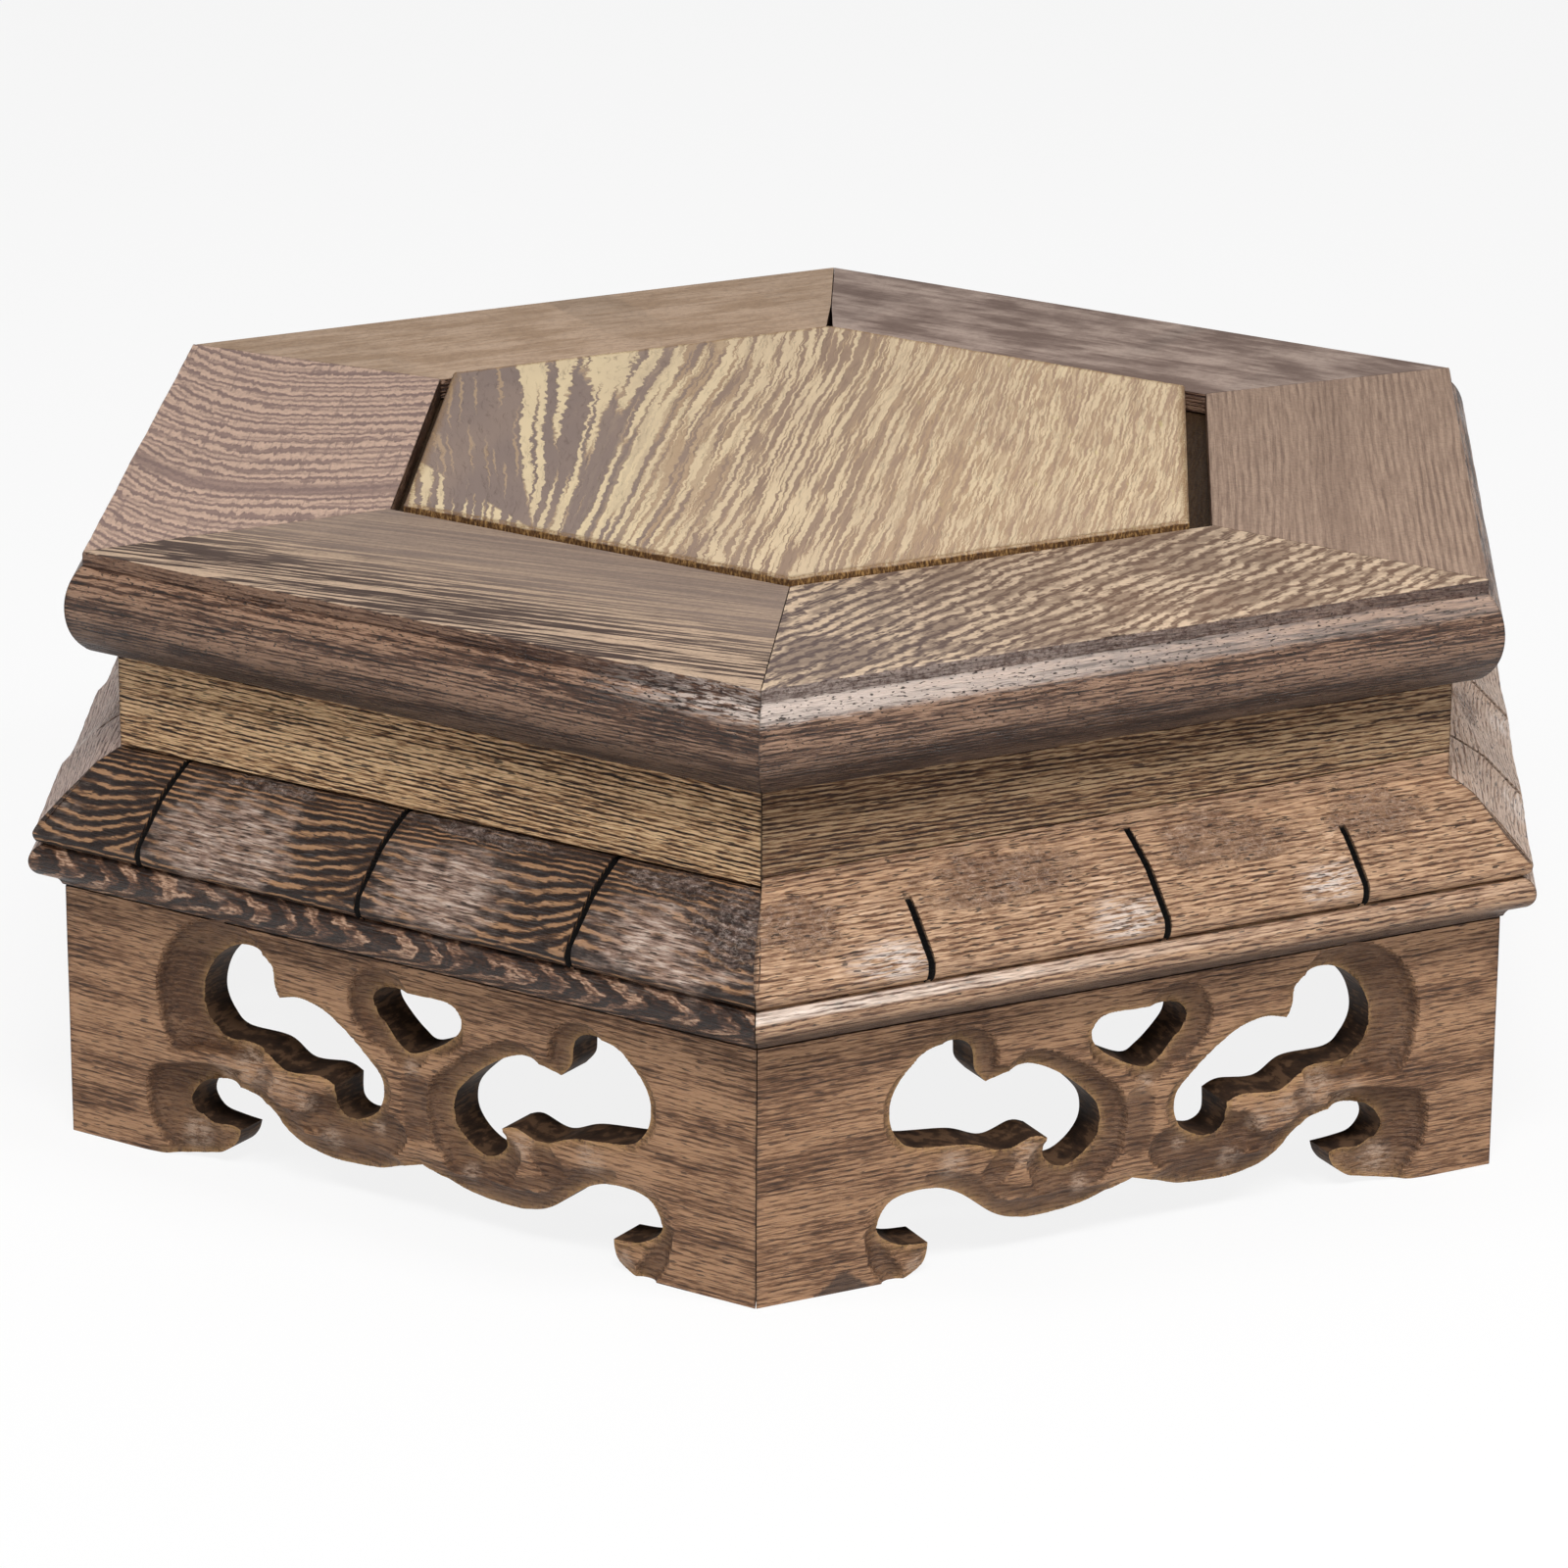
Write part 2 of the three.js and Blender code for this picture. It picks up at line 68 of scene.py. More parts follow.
def camera_turn(tilt, pan, roll):
    ahead = Vector((math.sin(pan) * math.cos(tilt), math.cos(pan) * math.cos(tilt), math.sin(tilt)))
    level = Vector((math.cos(pan), -math.sin(pan), 0))
    upright = level.cross(ahead)
    right = math.cos(roll) * level + math.sin(roll) * upright
    up = math.cos(roll) * upright - math.sin(roll) * level
    return Matrix((right, up, -ahead)).transposed()


camera = bpy.data.objects.new("camera", bpy.data.cameras.new("camera"))
camera.data.lens = CAMERA_LENS
camera.data.sensor_width = 36
camera.data.sensor_fit = "HORIZONTAL"
camera.data.clip_start = 0.01
camera.matrix_world = (
    Matrix.Translation(CAMERA_PLACE)
    @ camera_turn(CAMERA_TILT, CAMERA_PAN, CAMERA_ROLL).to_4x4()
)
bpy.context.scene.collection.objects.link(camera)
bpy.context.scene.camera = camera
bpy.context.scene.view_settings.view_transform = "Standard"
print("camera looks along", [round(c, 3) for c in -camera.matrix_world.col[2].to_3d()])

# %% [markdown]
# ## Sizes, sides and the side frame
#
# A joiner makes one side at a time, and so does this script. Each side is made in millimetres
# in its own frame: x is the distance out from the stand's axis, y runs along the side, to the
# right as seen from outside, and z is up. The last step of each piece scales it to metres and
# turns it about z to its side.

# %% Sizes and sides
MM = 0.001
SIDE_TURN = math.radians(60)
MITRE_SLOPE = math.tan(SIDE_TURN / 2)

HEIGHT = 75
PANEL_TOP = 75.8
RAIL_BOTTOM = 61.9
WAIST_TOP = 61.6
WAIST_BOTTOM = 49.6
SHOULDER_TOP = 49.3
SHOULDER_BOTTOM = 32.7
QUIRK_HEIGHT = 38.4
APRON_TOP = 32.4

TOP_EDGE = 85.3
RAIL_NOSE = 87.5
WAIST_OUTSIDE = 81.5
RING_INSIDE = 72.5
APRON_OUTSIDE = 88.3
APRON_THICKNESS = 6.4

SIDES = [
    {"name": "right", "inner": 52.2, "mirrored": False, "slip": 0.4, "notches": [-30, 1, 31]},
    {"name": "back_right", "inner": 55.1, "mirrored": True, "slip": -0.6, "notches": [-32, -1, 30]},
    {"name": "back_left", "inner": 54.2, "mirrored": False, "slip": 0.5, "notches": [-31, 2, 32]},
    {"name": "left", "inner": 49.8, "mirrored": True, "slip": -0.3, "notches": [-29, 0, 30]},
    {"name": "front_left", "inner": 49.2, "mirrored": False, "slip": 1.0,
     "notches": [-36.6, -3.6, 26.9]},
    {"name": "front_right", "inner": 50.6, "mirrored": True, "slip": 1.6,
     "notches": [-30, 1.7, 29.2]},
]
for index, side in enumerate(SIDES):
    side["turn"] = index * SIDE_TURN
    side["seed"] = 37.0 * (index + 1)
print(len(SIDES), "sides")

# %% [markdown]
# ## Helpers that most pieces share
#
# A rail, a waist board and a moulding are all made as on a bench: a bar with one section all
# along, sawn to a mitre at both ends. Here a face with the section's corners is extruded along
# the side, its long edges are subdivided so that the bar can be worked, and a plane bisects it
# at each end. The cut is closed again with a face.

# %% Helpers: a bar and its mitres
def corners_of(geometry):
    return [item for item in geometry if isinstance(item, bmesh.types.BMVert)]


def edges_of(geometry):
    return [item for item in geometry if isinstance(item, bmesh.types.BMEdge)]


def everything(shape):
    return shape.verts[:] + shape.edges[:] + shape.faces[:]


def bar(section, half, pitch):
    """A section, in x and z, carried along the side from -half to half."""
    shape = bmesh.new()
    start = shape.faces.new([shape.verts.new((x, -half, z)) for x, z in section])
    drawn = bmesh.ops.extrude_face_region(shape, geom=[start])
    bmesh.ops.translate(shape, verts=corners_of(drawn["geom"]), vec=(0, 2 * half, 0))
    bmesh.ops.recalc_face_normals(shape, faces=shape.faces)
    lengthways = [e for e in shape.edges if abs(e.verts[0].co.y - e.verts[1].co.y) > half]
    cuts = int(2 * half / pitch)
    bmesh.ops.subdivide_edges(shape, edges=lengthways, cuts=cuts, use_grid_fill=True)
    return shape


def saw(shape, place, outwards):
    """Cuts off what lies beyond a plane, and closes the cut."""
    cut = bmesh.ops.bisect_plane(
        shape, geom=everything(shape), dist=1e-5, plane_co=place, plane_no=outwards,
        clear_outer=True,
    )
    rim = edges_of(cut["geom_cut"])
    if rim:
        bmesh.ops.edgeloop_fill(shape, edges=rim)


def mitre(shape, gap):
    """Both ends cut on planes that run at the stand's axis, half the gap short of them."""
    for end in (-1, 1):
        outwards = Vector((-math.sin(SIDE_TURN / 2), end * math.cos(SIDE_TURN / 2), 0))
        saw(shape, -gap / 2 * outwards, outwards)


# %% Helpers: smooth noise and steps
def wander(x, y, z, size, seed=0.0):
    """Smooth noise from about -1 to 1 that changes over about size millimetres."""
    return noise.noise(Vector((x / size + seed, y / size - seed, z / size + 2 * seed)))


def ease(value, low, high):
    """0 below low, 1 above high and a smooth rise between them."""
    t = min(max((value - low) / (high - low), 0.0), 1.0)
    return t * t * (3 - 2 * t)


# %% Helpers: a finished piece
def finish_piece(shape, name, node, turn, finishes, crease=32):
    """Scales, turns and closes a shape, and puts it in the place of its CAD node."""
    bmesh.ops.remove_doubles(shape, verts=shape.verts, dist=1e-4)
    bmesh.ops.recalc_face_normals(shape, faces=shape.faces)
    open_edges = sum(1 for edge in shape.edges if not edge.is_manifold)
    bmesh.ops.scale(shape, vec=(MM, MM, MM), verts=shape.verts)
    bmesh.ops.rotate(
        shape, cent=(0, 0, 0), matrix=Matrix.Rotation(turn, 3, "Z"), verts=shape.verts
    )
    mesh = bpy.data.meshes.new(name)
    shape.to_mesh(mesh)
    shape.free()
    for finish in finishes:
        mesh.materials.append(finish)
    mesh.shade_smooth()
    mesh.set_sharp_from_angle(angle=math.radians(crease))
    piece = bpy.data.objects.new(name, mesh)
    bpy.context.scene.collection.objects.link(piece)
    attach(piece, "root")
    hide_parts(node)
    print(f"{name}: {len(mesh.polygons)} faces, {open_edges} open edges")


def finish_side(shape, side, piece, node, finishes, crease=32):
    """The same for one side's piece, which is named after its side."""
    name = side["name"]
    finish_piece(shape, f"{piece}_{name}", f"{node}_{name}", side["turn"], finishes, crease)


# %% [markdown]
# ## A way to write finishes
#
# A finish is a small net of nodes. The class below keeps the writing short: each call adds one
# or two nodes and hands back their output, which the next call can take. A colour is written
# as a paint program shows it, with six letters and digits.

# %% Helpers: a net of nodes
def shade(code):
    """A colour code as the linear numbers that a shader takes."""
    parts = [int(code[i:i + 2], 16) / 255 for i in (0, 2, 4)]
    linear = [p / 12.92 if p <= 0.04045 else ((p + 0.055) / 1.055) ** 2.4 for p in parts]
    return (*linear, 1.0)


class Net:
    """One material and the nodes that make it."""

    def __init__(self, name):
        self.material = bpy.data.materials.new(name)
        self.material.use_nodes = True
        self.nodes = self.material.node_tree.nodes
        self.links = self.material.node_tree.links
        self.shader = self.nodes["Principled BSDF"]

    def put(self, socket, value):
        """Links a socket to another node's output, or gives it a number or a colour."""
        if isinstance(value, bpy.types.NodeSocket):
            self.links.new(value, socket)
        else:
            socket.default_value = shade(value) if isinstance(value, str) else value

    def add(self, kind, inputs, out=0, **settings):
        node = self.nodes.new(kind)
        for key, value in settings.items():
            setattr(node, key, value)
        for key, value in inputs.items():
            self.put(node.inputs[key], value)
        return node.outputs[out]

    def math(self, operation, *values):
        return self.add("ShaderNodeMath", dict(enumerate(values)), operation=operation)

    def plus(self, first, second):
        return self.math("ADD", first, second)

    def times(self, first, second):
        return self.math("MULTIPLY", first, second)

    def weigh(self, value, weight, rest):
        """The value times the weight, plus the rest."""
        return self.math("MULTIPLY_ADD", value, weight, rest)

    def off(self, value, middle):
        """How far a value is from the middle, on either side."""
        return self.math("ABSOLUTE", self.math("SUBTRACT", value, middle))

    def rise(self, value, low, high, start=0.0, end=1.0):
        """A smooth step from start to end as value goes from low to high."""
        return self.add("ShaderNodeMapRange", {
            "Value": value, "From Min": low, "From Max": high, "To Min": start, "To Max": end,
        }, interpolation_type="SMOOTHSTEP")

    def blend(self, amount, first, second):
        """A number between first and second."""
        return self.add("ShaderNodeMix", {0: amount, 2: first, 3: second}, data_type="FLOAT")

    def mix(self, amount, first, second):
        """A colour between first and second."""
        return self.add("ShaderNodeMix", {0: amount, 6: first, 7: second}, out=2, data_type="RGBA")

    def ramp(self, value, *stops):
        """A colour ramp from (place, colour code) stops."""
        node = self.nodes.new("ShaderNodeValToRGB")
        elements = node.color_ramp.elements
        while len(elements) < len(stops):
            elements.new(0.5)
        for element, (spot, code) in zip(elements, stops):
            element.position = spot
            element.color = shade(code)
        self.links.new(value, node.inputs[0])
        return node.outputs[0]


print("nodes can be joined")

# %% [markdown]
# Wood needs more than arithmetic. All its patterns read Object coordinates, so they run through
# the wood as the real figure does, and a Mapping node scales them to millimetres and turns them
# to the side's own frame. Noise stretched along the side gives grain, and numbers that the
# mesh's corners carry tell where the wood is carved, torn or worn, and where painted highlights
# go.

# %% Helpers: wood
SEAM_WIDTH = 0.25
SEAM_DARK = "2a1a11"


class Finish(Net):
    """A net with what wood needs."""

    def place(self, turn=0.0, spin=0.0):
        """Object coordinates in millimetres, in the frame of a side, spun on by an angle."""
        spot = self.add("ShaderNodeTexCoord", {}, out="Object")
        return self.add("ShaderNodeMapping", {
            "Vector": spot, "Rotation": (0, 0, spin - turn), "Scale": (1 / MM, 1 / MM, 1 / MM),
        })

    def part(self, vector, axis):
        return self.add("ShaderNodeSeparateXYZ", {0: vector}, out=axis)

    def parts(self, vector):
        return [self.part(vector, axis) for axis in range(3)]

    def mark(self, name):
        """A number that the mesh's corners carry."""
        return self.add("ShaderNodeAttribute", {}, out="Fac", attribute_name=name)

    def grain(self, vector, cell, seed=0.0, detail=2.0, rough=0.5):
        """Noise whose blots are as long in x, y and z as the cell says, in millimetres."""
        sized = self.add("ShaderNodeMapping", {
            "Vector": vector, "Scale": tuple(1 / c for c in cell),
            "Location": (seed, 1.7 * seed, -0.6 * seed),
        })
        return self.add("ShaderNodeTexNoise", {
            "Vector": sized, "Scale": 1.0, "Detail": detail, "Roughness": rough,
        })

    def waves(self, level, pitch, bend, low=-0.5, high=0.5):
        """Bands a pitch apart on the level, pushed about by bend: 0 dark and 1 light."""
        turned = self.times(self.plus(self.math("DIVIDE", level, pitch), bend), 2 * math.pi)
        return self.rise(self.math("SINE", turned), low, high)

    def seam(self, colour, x, y, ragged):
        """Darkens a side's two mitred ends, where the joint has taken up dirt."""
        along = self.times(self.math("ABSOLUTE", y), -math.cos(SIDE_TURN / 2))
        inside = self.weigh(x, math.sin(SIDE_TURN / 2), along)
        inside = self.weigh(ragged, -2 * SEAM_WIDTH, inside)
        dirt = self.rise(inside, -0.5, 0.6 * SEAM_WIDTH, 0.6, 0.0)
        return self.mix(dirt, colour, SEAM_DARK)

    def bump(self, height, depth, strength):
        return self.add("ShaderNodeBump", {
            "Height": height, "Distance": depth * MM, "Strength": strength,
        })

    def done(self, colour, roughness, normal=None, **uniform):
        self.put(self.shader.inputs["Base Color"], colour)
        self.put(self.shader.inputs["Roughness"], roughness)
        if normal is not None:
            self.put(self.shader.inputs["Normal"], normal)
        for key, value in uniform.items():
            self.shader.inputs[key.replace("_", " ")].default_value = value
        return self.material


print("finishes can be written")

# %% [markdown]
# ## The striped panel's finish
#
# Wenge shows straw-coloured bands on a grey brown ground. On the left of the panel they are
# bold, with one plain dark patch beside the gap, and towards the right they get finer and
# paler. Stretched noise gives bands that split and join as the real ones do: its blots are a
# millimetre or two across the grain and many times that along it. Three such patterns, from
# bold to fine, follow each other from left to right.

# %% Finish: striped panel
def panel_finish():
    f = Finish("striped_panel")
    spot = f.place()
    x, y, z = f.parts(spot)
    lean = f.rise(x, -44, -16, 0.12, -0.085)
    sway = f.grain(spot, (20, 60, 60), seed=3, detail=1)
    jag = f.grain(spot, (1.6, 2.8, 9), seed=21, detail=3.5, rough=0.72)
    drift = f.weigh(y, lean, x)
    drift = f.weigh(sway, 4.0, drift)
    drift = f.weigh(jag, f.rise(x, -25, 15, 1.9, 1.0), drift)
    along = f.add("ShaderNodeCombineXYZ", {0: drift, 1: y, 2: z})
    bold = f.grain(along, (1.15, 70, 20), seed=11, detail=1.5, rough=0.5)
    medium = f.grain(along, (0.56, 26, 12), seed=5, detail=2, rough=0.55)
    fine = f.grain(along, (0.34, 10, 9), seed=17, detail=2.5, rough=0.6)
    fibres = f.grain(along, (0.13, 5, 3), seed=8, detail=2)
    bold_tone = f.rise(bold, 0.478, 0.526)
    medium_tone = f.rise(f.weigh(fibres, 0.16, medium), 0.52, 0.62)
    fine_tone = f.rise(f.weigh(fibres, 0.30, fine), 0.55, 0.70)
    to_middle = f.rise(f.weigh(jag, 6.0, x), -26, 2)
    to_right = f.rise(f.weigh(jag, 8.0, x), 2, 34)
    tone = f.blend(to_middle, bold_tone, medium_tone)
    tone = f.blend(to_right, tone, f.weigh(medium_tone, 0.3, f.times(fine_tone, 0.7)))
    # The plain dark patch is left of one slanted streak and above another
    right_of = f.weigh(y, 0.143, f.plus(x, 36.2))
    above = f.weigh(y, 0.573, f.plus(x, 53.4))
    right_of = f.weigh(jag, 1.3, right_of)
    above = f.weigh(jag, 1.2, above)
    inside = f.times(f.rise(right_of, 0.0, 0.6, 1.0, 0.0), f.rise(above, 0.4, 1.0))
    thread = f.rise(f.grain(along, (0.5, 30, 9), seed=41, detail=0), 0.66, 0.72, 0.0, 0.35)
    tone = f.blend(inside, tone, thread)
    ground = f.mix(to_middle, "83726a", "947c6a")
    ground = f.mix(to_right, ground, "a68a73")
    band = f.mix(to_middle, "dac5a0", "d9c2a0")
    band = f.mix(to_right, band, "dcc5a2")
    reddish = f.rise(f.off(tone, 0.45), 0.05, 0.4, 0.45, 0.0)
    colour = f.mix(tone, ground, band)
    colour = f.mix(reddish, colour, "a4805f")
    cloud = f.grain(spot, (9, 30, 9), seed=31, detail=3, rough=0.6)
    colour = f.mix(f.rise(cloud, 0.4, 0.7, 0.0, 0.2), colour, "ab927e")
    green = f.rise(f.grain(spot, (1.2, 6, 6), seed=14, detail=2), 0.66, 0.78, 0.0, 0.35)
    colour = f.mix(f.times(green, to_right), colour, "cdc07c")
    pores = f.rise(fibres, 0.60, 0.72)
    colour = f.mix(f.times(pores, 0.38), colour, "6d574a")
    fuzz = f.grain(spot, (0.35, 0.35, 0.9), seed=2, detail=3, rough=0.7)
    sawn = f.ramp(fuzz, (0.3, "2c1c10"), (0.5, "6b4a2b"), (0.65, "b08a55"))
    # Painted shade: the sawn edge is darker towards the tongue, down in the gap by the rail.
    sawn = f.mix(f.rise(z, 72.2, 75.2, 0.8, 0.0), sawn, "24170e")
    on_top = f.rise(z, 75.45, 75.75)
    torn_rim = f.times(f.mark("torn"), f.rise(fuzz, 0.30, 0.62))
    colour = f.mix(torn_rim, colour, "8a6a42")
    colour = f.mix(on_top, sawn, colour)
    roughness = f.rise(tone, 0, 1, 0.60, 0.48)
    height = f.weigh(pores, -1.0, f.times(tone, 0.35))
    height = f.weigh(f.times(fuzz, f.mark("torn")), 3.0, height)
    return f.done(colour, roughness, f.bump(height, 0.14, 0.6), Specular_IOR_Level=0.35)


PANEL_FINISH = panel_finish()

# %% [markdown]
# ## The top rails' finish
#
# Each rail is its own board, sawn at another angle to the growth rings, so each shows another
# figure on top: wavy bands across the left rail, long streaks on the front left one, short
# broken waves on the front right one, fine lines on the right and little at the back. On the
# nose the same rings show as fine dark and tan lines along the rail, with open pores. The two
# figures meet at the top's edge, so the height chooses between them.

# %% Finish: growth rings on edge, and pores
def edge_grain(f, spot, seed, pitch, steep=0.25, tilt=0.0, least=0.15, most=0.8):
    """Growth layers seen on edge: fine dark lines along the side. 0 in a line, 1 between."""
    x, y, z = f.parts(spot)
    level = f.weigh(x, steep, f.weigh(y, tilt, z))
    drift = f.grain(spot, (8, 50, 8), seed=seed, detail=1)
    waver = f.grain(spot, (2.0, 4.5, 1.0), seed=seed + 2, detail=3.5, rough=0.65)
    bend = f.weigh(drift, 1.3, f.times(waver, 1.15))
    line = f.waves(level, pitch, bend, -0.9, 0.3)
    force = f.rise(f.grain(spot, (1.0, 8, 0.6), seed=seed + 4, detail=2), 0.38, 0.62, least, most)
    fibres = f.grain(spot, (0.25, 3.0, 0.17), seed=seed + 6, detail=2.5, rough=0.65)
    tone = f.blend(force, 1.0, line)
    return f.plus(tone, f.rise(fibres, 0.30, 0.70, -0.42, 0.42))


def pores_of(f, spot, seed, length=2.0, share=0.64):
    """Open pores: short dark dashes along the side."""
    blots = f.grain(spot, (0.30, length, 0.17), seed=seed, detail=0.5)
    return f.rise(blots, share, share + 0.05)


print("two patterns that every board has")

# %% [markdown]
# Each function below gives one rail's figure: a tone from 0 to 1 and the colours of its dark
# and light ends. On the left rail the rings were cut as bowls, so the bands' level is bent by
# the square of the distance from the bowl's middle. On the two front rails the pattern is
# turned to the photograph's slant.

# %% Finish: the figures on the tops
def top_left_figure(f):
    spot = f.place()
    x, y = f.part(spot, 0), f.part(spot, 1)
    outer = f.math("MINIMUM", f.plus(x, 68.0), 0.0)
    inner = f.math("MAXIMUM", f.plus(x, 62.0), 0.0)
    bowl = f.weigh(f.times(outer, outer), -0.05, f.times(f.times(inner, inner), -0.014))
    level = f.plus(y, bowl)
    terrace = f.grain(spot, (1.0, 5, 9), seed=4, detail=3, rough=0.65)
    drift = f.grain(spot, (20, 12, 9), seed=9, detail=1)
    bend = f.weigh(terrace, 1.25, f.times(drift, 1.5))
    wide = f.waves(level, 4.3, bend, -0.55, 0.25)
    thin = f.waves(level, 2.3, bend, -0.5, 0.3)
    share = f.rise(f.grain(spot, (14, 7, 9), seed=17), 0.42, 0.56, 0.1, 0.75)
    tone = f.blend(share, wide, thin)
    plain = f.rise(f.off(level, -20.5), 1.6, 3.4, 0.25, 1.0)
    streak = f.rise(f.grain(spot, (0.5, 7, 9), seed=13, detail=2), 0.58, 0.70, 1.0, 0.45)
    return f.times(f.times(tone, plain), streak), "846d66", "c9aa96"


def top_front_left_figure(f):
    spot = f.place(spin=math.radians(18.5))
    streaks = f.grain(spot, (34, 0.74, 5), seed=2, detail=2.8, rough=0.55)
    fine = f.grain(spot, (5, 0.34, 2), seed=7, detail=2.5)
    out = f.part(f.place(SIDES[4]["turn"]), 0)
    outer = f.rise(f.weigh(streaks, 26.0, out), 74, 90)
    mixed = f.weigh(fine, 0.35, streaks)
    tone = f.rise(mixed, 0.66, 0.72)
    faint = f.rise(mixed, 0.56, 0.86, 0.10, 0.50)
    straw = f.rise(f.grain(spot, (16, 0.5, 5), seed=31, detail=1), 0.68, 0.74, 0.0, 0.8)
    tone = f.math("MAXIMUM", f.blend(outer, faint, tone), straw)
    return tone, f.mix(outer, "7b6a61", "45352e"), "c0a58c"


def top_front_right_figure(f):
    spot = f.place(spin=math.radians(-57))
    across = f.part(spot, 1)
    waver = f.grain(spot, (1.8, 9, 5), seed=12, detail=2, rough=0.6)
    drift = f.grain(spot, (16, 14, 9), seed=19, detail=1)
    bend = f.weigh(waver, 1.1, f.times(drift, 2.6))
    bands = f.waves(across, 2.3, bend, -0.8, 0.4)
    broken = f.rise(f.grain(spot, (2.4, 0.9, 3), seed=15, detail=2, rough=0.6), 0.31, 0.47)
    fine = f.rise(f.grain(spot, (3.0, 0.36, 3), seed=25, detail=2), 0.48, 0.62, 0.0, 0.42)
    tone = f.math("MAXIMUM", f.times(bands, broken), fine)
    shadowy = f.rise(f.grain(spot, (9, 4, 9), seed=33, detail=3, rough=0.6), 0.40, 0.56, 0.35, 1.0)
    tone = f.times(tone, shadowy)
    left_end = f.part(f.place(SIDES[5]["turn"]), 1)
    ground = f.mix(f.rise(left_end, -35, 5), "5c4c48", "6e5443")
    return tone, ground, "d2b89c"


def top_right_figure(f):
    spot = f.place()
    x = f.part(spot, 0)
    drift = f.grain(spot, (12, 60, 9), seed=22, detail=1)
    waver = f.grain(spot, (1.2, 7, 5), seed=26, detail=2)
    bend = f.weigh(drift, 3.0, f.times(waver, 0.5))
    lines = f.waves(x, 1.0, bend, -0.9, 0.5)
    patch = f.rise(f.grain(spot, (4, 30, 9), seed=28, detail=2), 0.35, 0.65, 0.25, 0.9)
    fine = f.rise(f.grain(spot, (0.3, 8, 5), seed=29, detail=2), 0.3, 0.7, -0.25, 0.25)
    tone = f.plus(f.blend(patch, 0.65, f.rise(lines, 0, 1, 0.3, 0.85)), fine)
    band = f.rise(f.off(x, 68.0), 1.0, 3.4, 0.7, 1.0)
    return f.times(tone, band), "745d4f", "ac917d"


def top_back_figure(f, side):
    dark = side["name"] == "back_right"
    spot = f.place(side["turn"])
    faint = f.grain(spot, (1.1, 14, 9), seed=side["seed"], detail=3, rough=0.65)
    cloud = f.grain(spot, (6, 13, 9), seed=side["seed"] + 3, detail=3, rough=0.6)
    if dark:
        tone = f.rise(f.weigh(cloud, 2.2, faint), 1.25, 2.05)
        return tone, "705d54", "aa968a"
    return f.rise(f.weigh(cloud, 1.2, faint), 0.86, 1.35), "9b8169", "b59b84"


def top_figure(f, side):
    figures = {
        "left": top_left_figure,
        "front_left": top_front_left_figure,
        "front_right": top_front_right_figure,
        "right": top_right_figure,
    }
    if side["name"] in figures:
        return figures[side["name"]](f)
    return top_back_figure(f, side)


print("six figures for the frame's top")


# %% Finish: top rails
def nose_painted_highlight(f, side, y, z, fibres):
    """A painted highlight on the nose beside the front corner: how much, from 0 to 1."""
    if side["name"] == "front_right":
        band = f.rise(f.weigh(fibres, 1.4, z), 71.3, 72.4)
        return f.times(f.rise(y, -52, 46, 0.85, 0.25), band)
    if side["name"] == "front_left":
        near = f.times(f.rise(y, 20, 50, 0.0, 0.9), f.rise(z, 70.2, 72.2))
        return f.times(near, f.rise(fibres, 0.42, 0.56))
    return 0.0


def rail_finish(side):
    f = Finish("frame_wood_" + side["name"])
    spot = f.place(side["turn"])
    x, y, z = f.parts(spot)
    seed = side["seed"]
    tone, dark, light = top_figure(f, side)
    specks = f.grain(spot, (0.5, 0.8, 0.5), seed=seed, detail=3, rough=0.7)
    top = f.mix(tone, dark, light)
    top = f.mix(f.rise(specks, 0.42, 0.66, 0.0, 0.25), top, "55433a")
    lines = edge_grain(f, spot, seed + 4, 0.52, steep=0.5, most=0.75)
    broad = f.grain(spot, (1.8, 30, 1.8), seed=seed + 7, detail=2)
    level = f.weigh(f.rise(broad, 0.3, 0.7, -0.35, 0.35), 1.0, lines)
    edge = f.ramp(f.rise(level, -0.3, 1.3),
                  (0.0, "1a0a04"), (0.4, "3c2212"), (0.75, "5a3c2a"), (1.0, "a07d64"))
    fibres = f.grain(spot, (0.3, 2.2, 0.3), seed=seed + 15, detail=3, rough=0.6)
    # Painted highlight: near the front corner the nose's colour is lifted towards near white.
    painted_highlight = f.times(nose_painted_highlight(f, side, y, z, fibres), f.rise(level, -0.2, 0.7, 0.55, 1.0))
    edge = f.mix(painted_highlight, edge, "dccbc0")
    pores = pores_of(f, spot, seed + 9, 0.7, 0.66)
    edge = f.mix(f.times(pores, 0.9), edge, "1d0f08")
    # Painted shade: the nose is darker towards its underside, which faces away from the light.
    edge = f.mix(f.rise(z, 63, 69.5, 0.68, 0.0), edge, "241006")
    step = f.rise(f.weigh(fibres, -0.8, z), 72.75, 73.0)
    red = 0.9 if side["name"] == "front_right" else 0.5
    edge = f.mix(f.times(step, f.rise(specks, 0.35, 0.6, red, 0.6 * red)), edge, "3f2114")
    edge = f.seam(edge, x, y, specks)
    on_top = f.rise(f.weigh(specks, 0.12, z), 74.88, 75.0)
    colour = f.mix(on_top, edge, top)
    fine = f.weigh(pores, -1.6, level)
    flat = f.weigh(specks, -0.6, f.times(tone, 0.4))
    height = f.blend(on_top, fine, flat)
    gloss = f.rise(f.grain(spot, (1.5, 9, 1.5), seed=seed + 12, detail=3), 0.3, 0.7, 0.27, 0.46)
    roughness = f.blend(on_top, gloss, f.rise(tone, 0, 1, 0.58, 0.48))
    return f.done(colour, roughness, f.bump(height, 0.2, 0.8), Specular_IOR_Level=0.5)


for side in SIDES:
    side["rail_finish"] = rail_finish(side)
print("rail finishes made")

# %% [markdown]
# ## The finishes of the waist, the shoulder and the carved boards
#
# All three are solid figures: layers that run along the side, leaning in section. Where a
# scoop or a carving cuts into them the lines bend round the hollow by themselves, as contour
# lines do, so the figure follows the shape with no extra work.

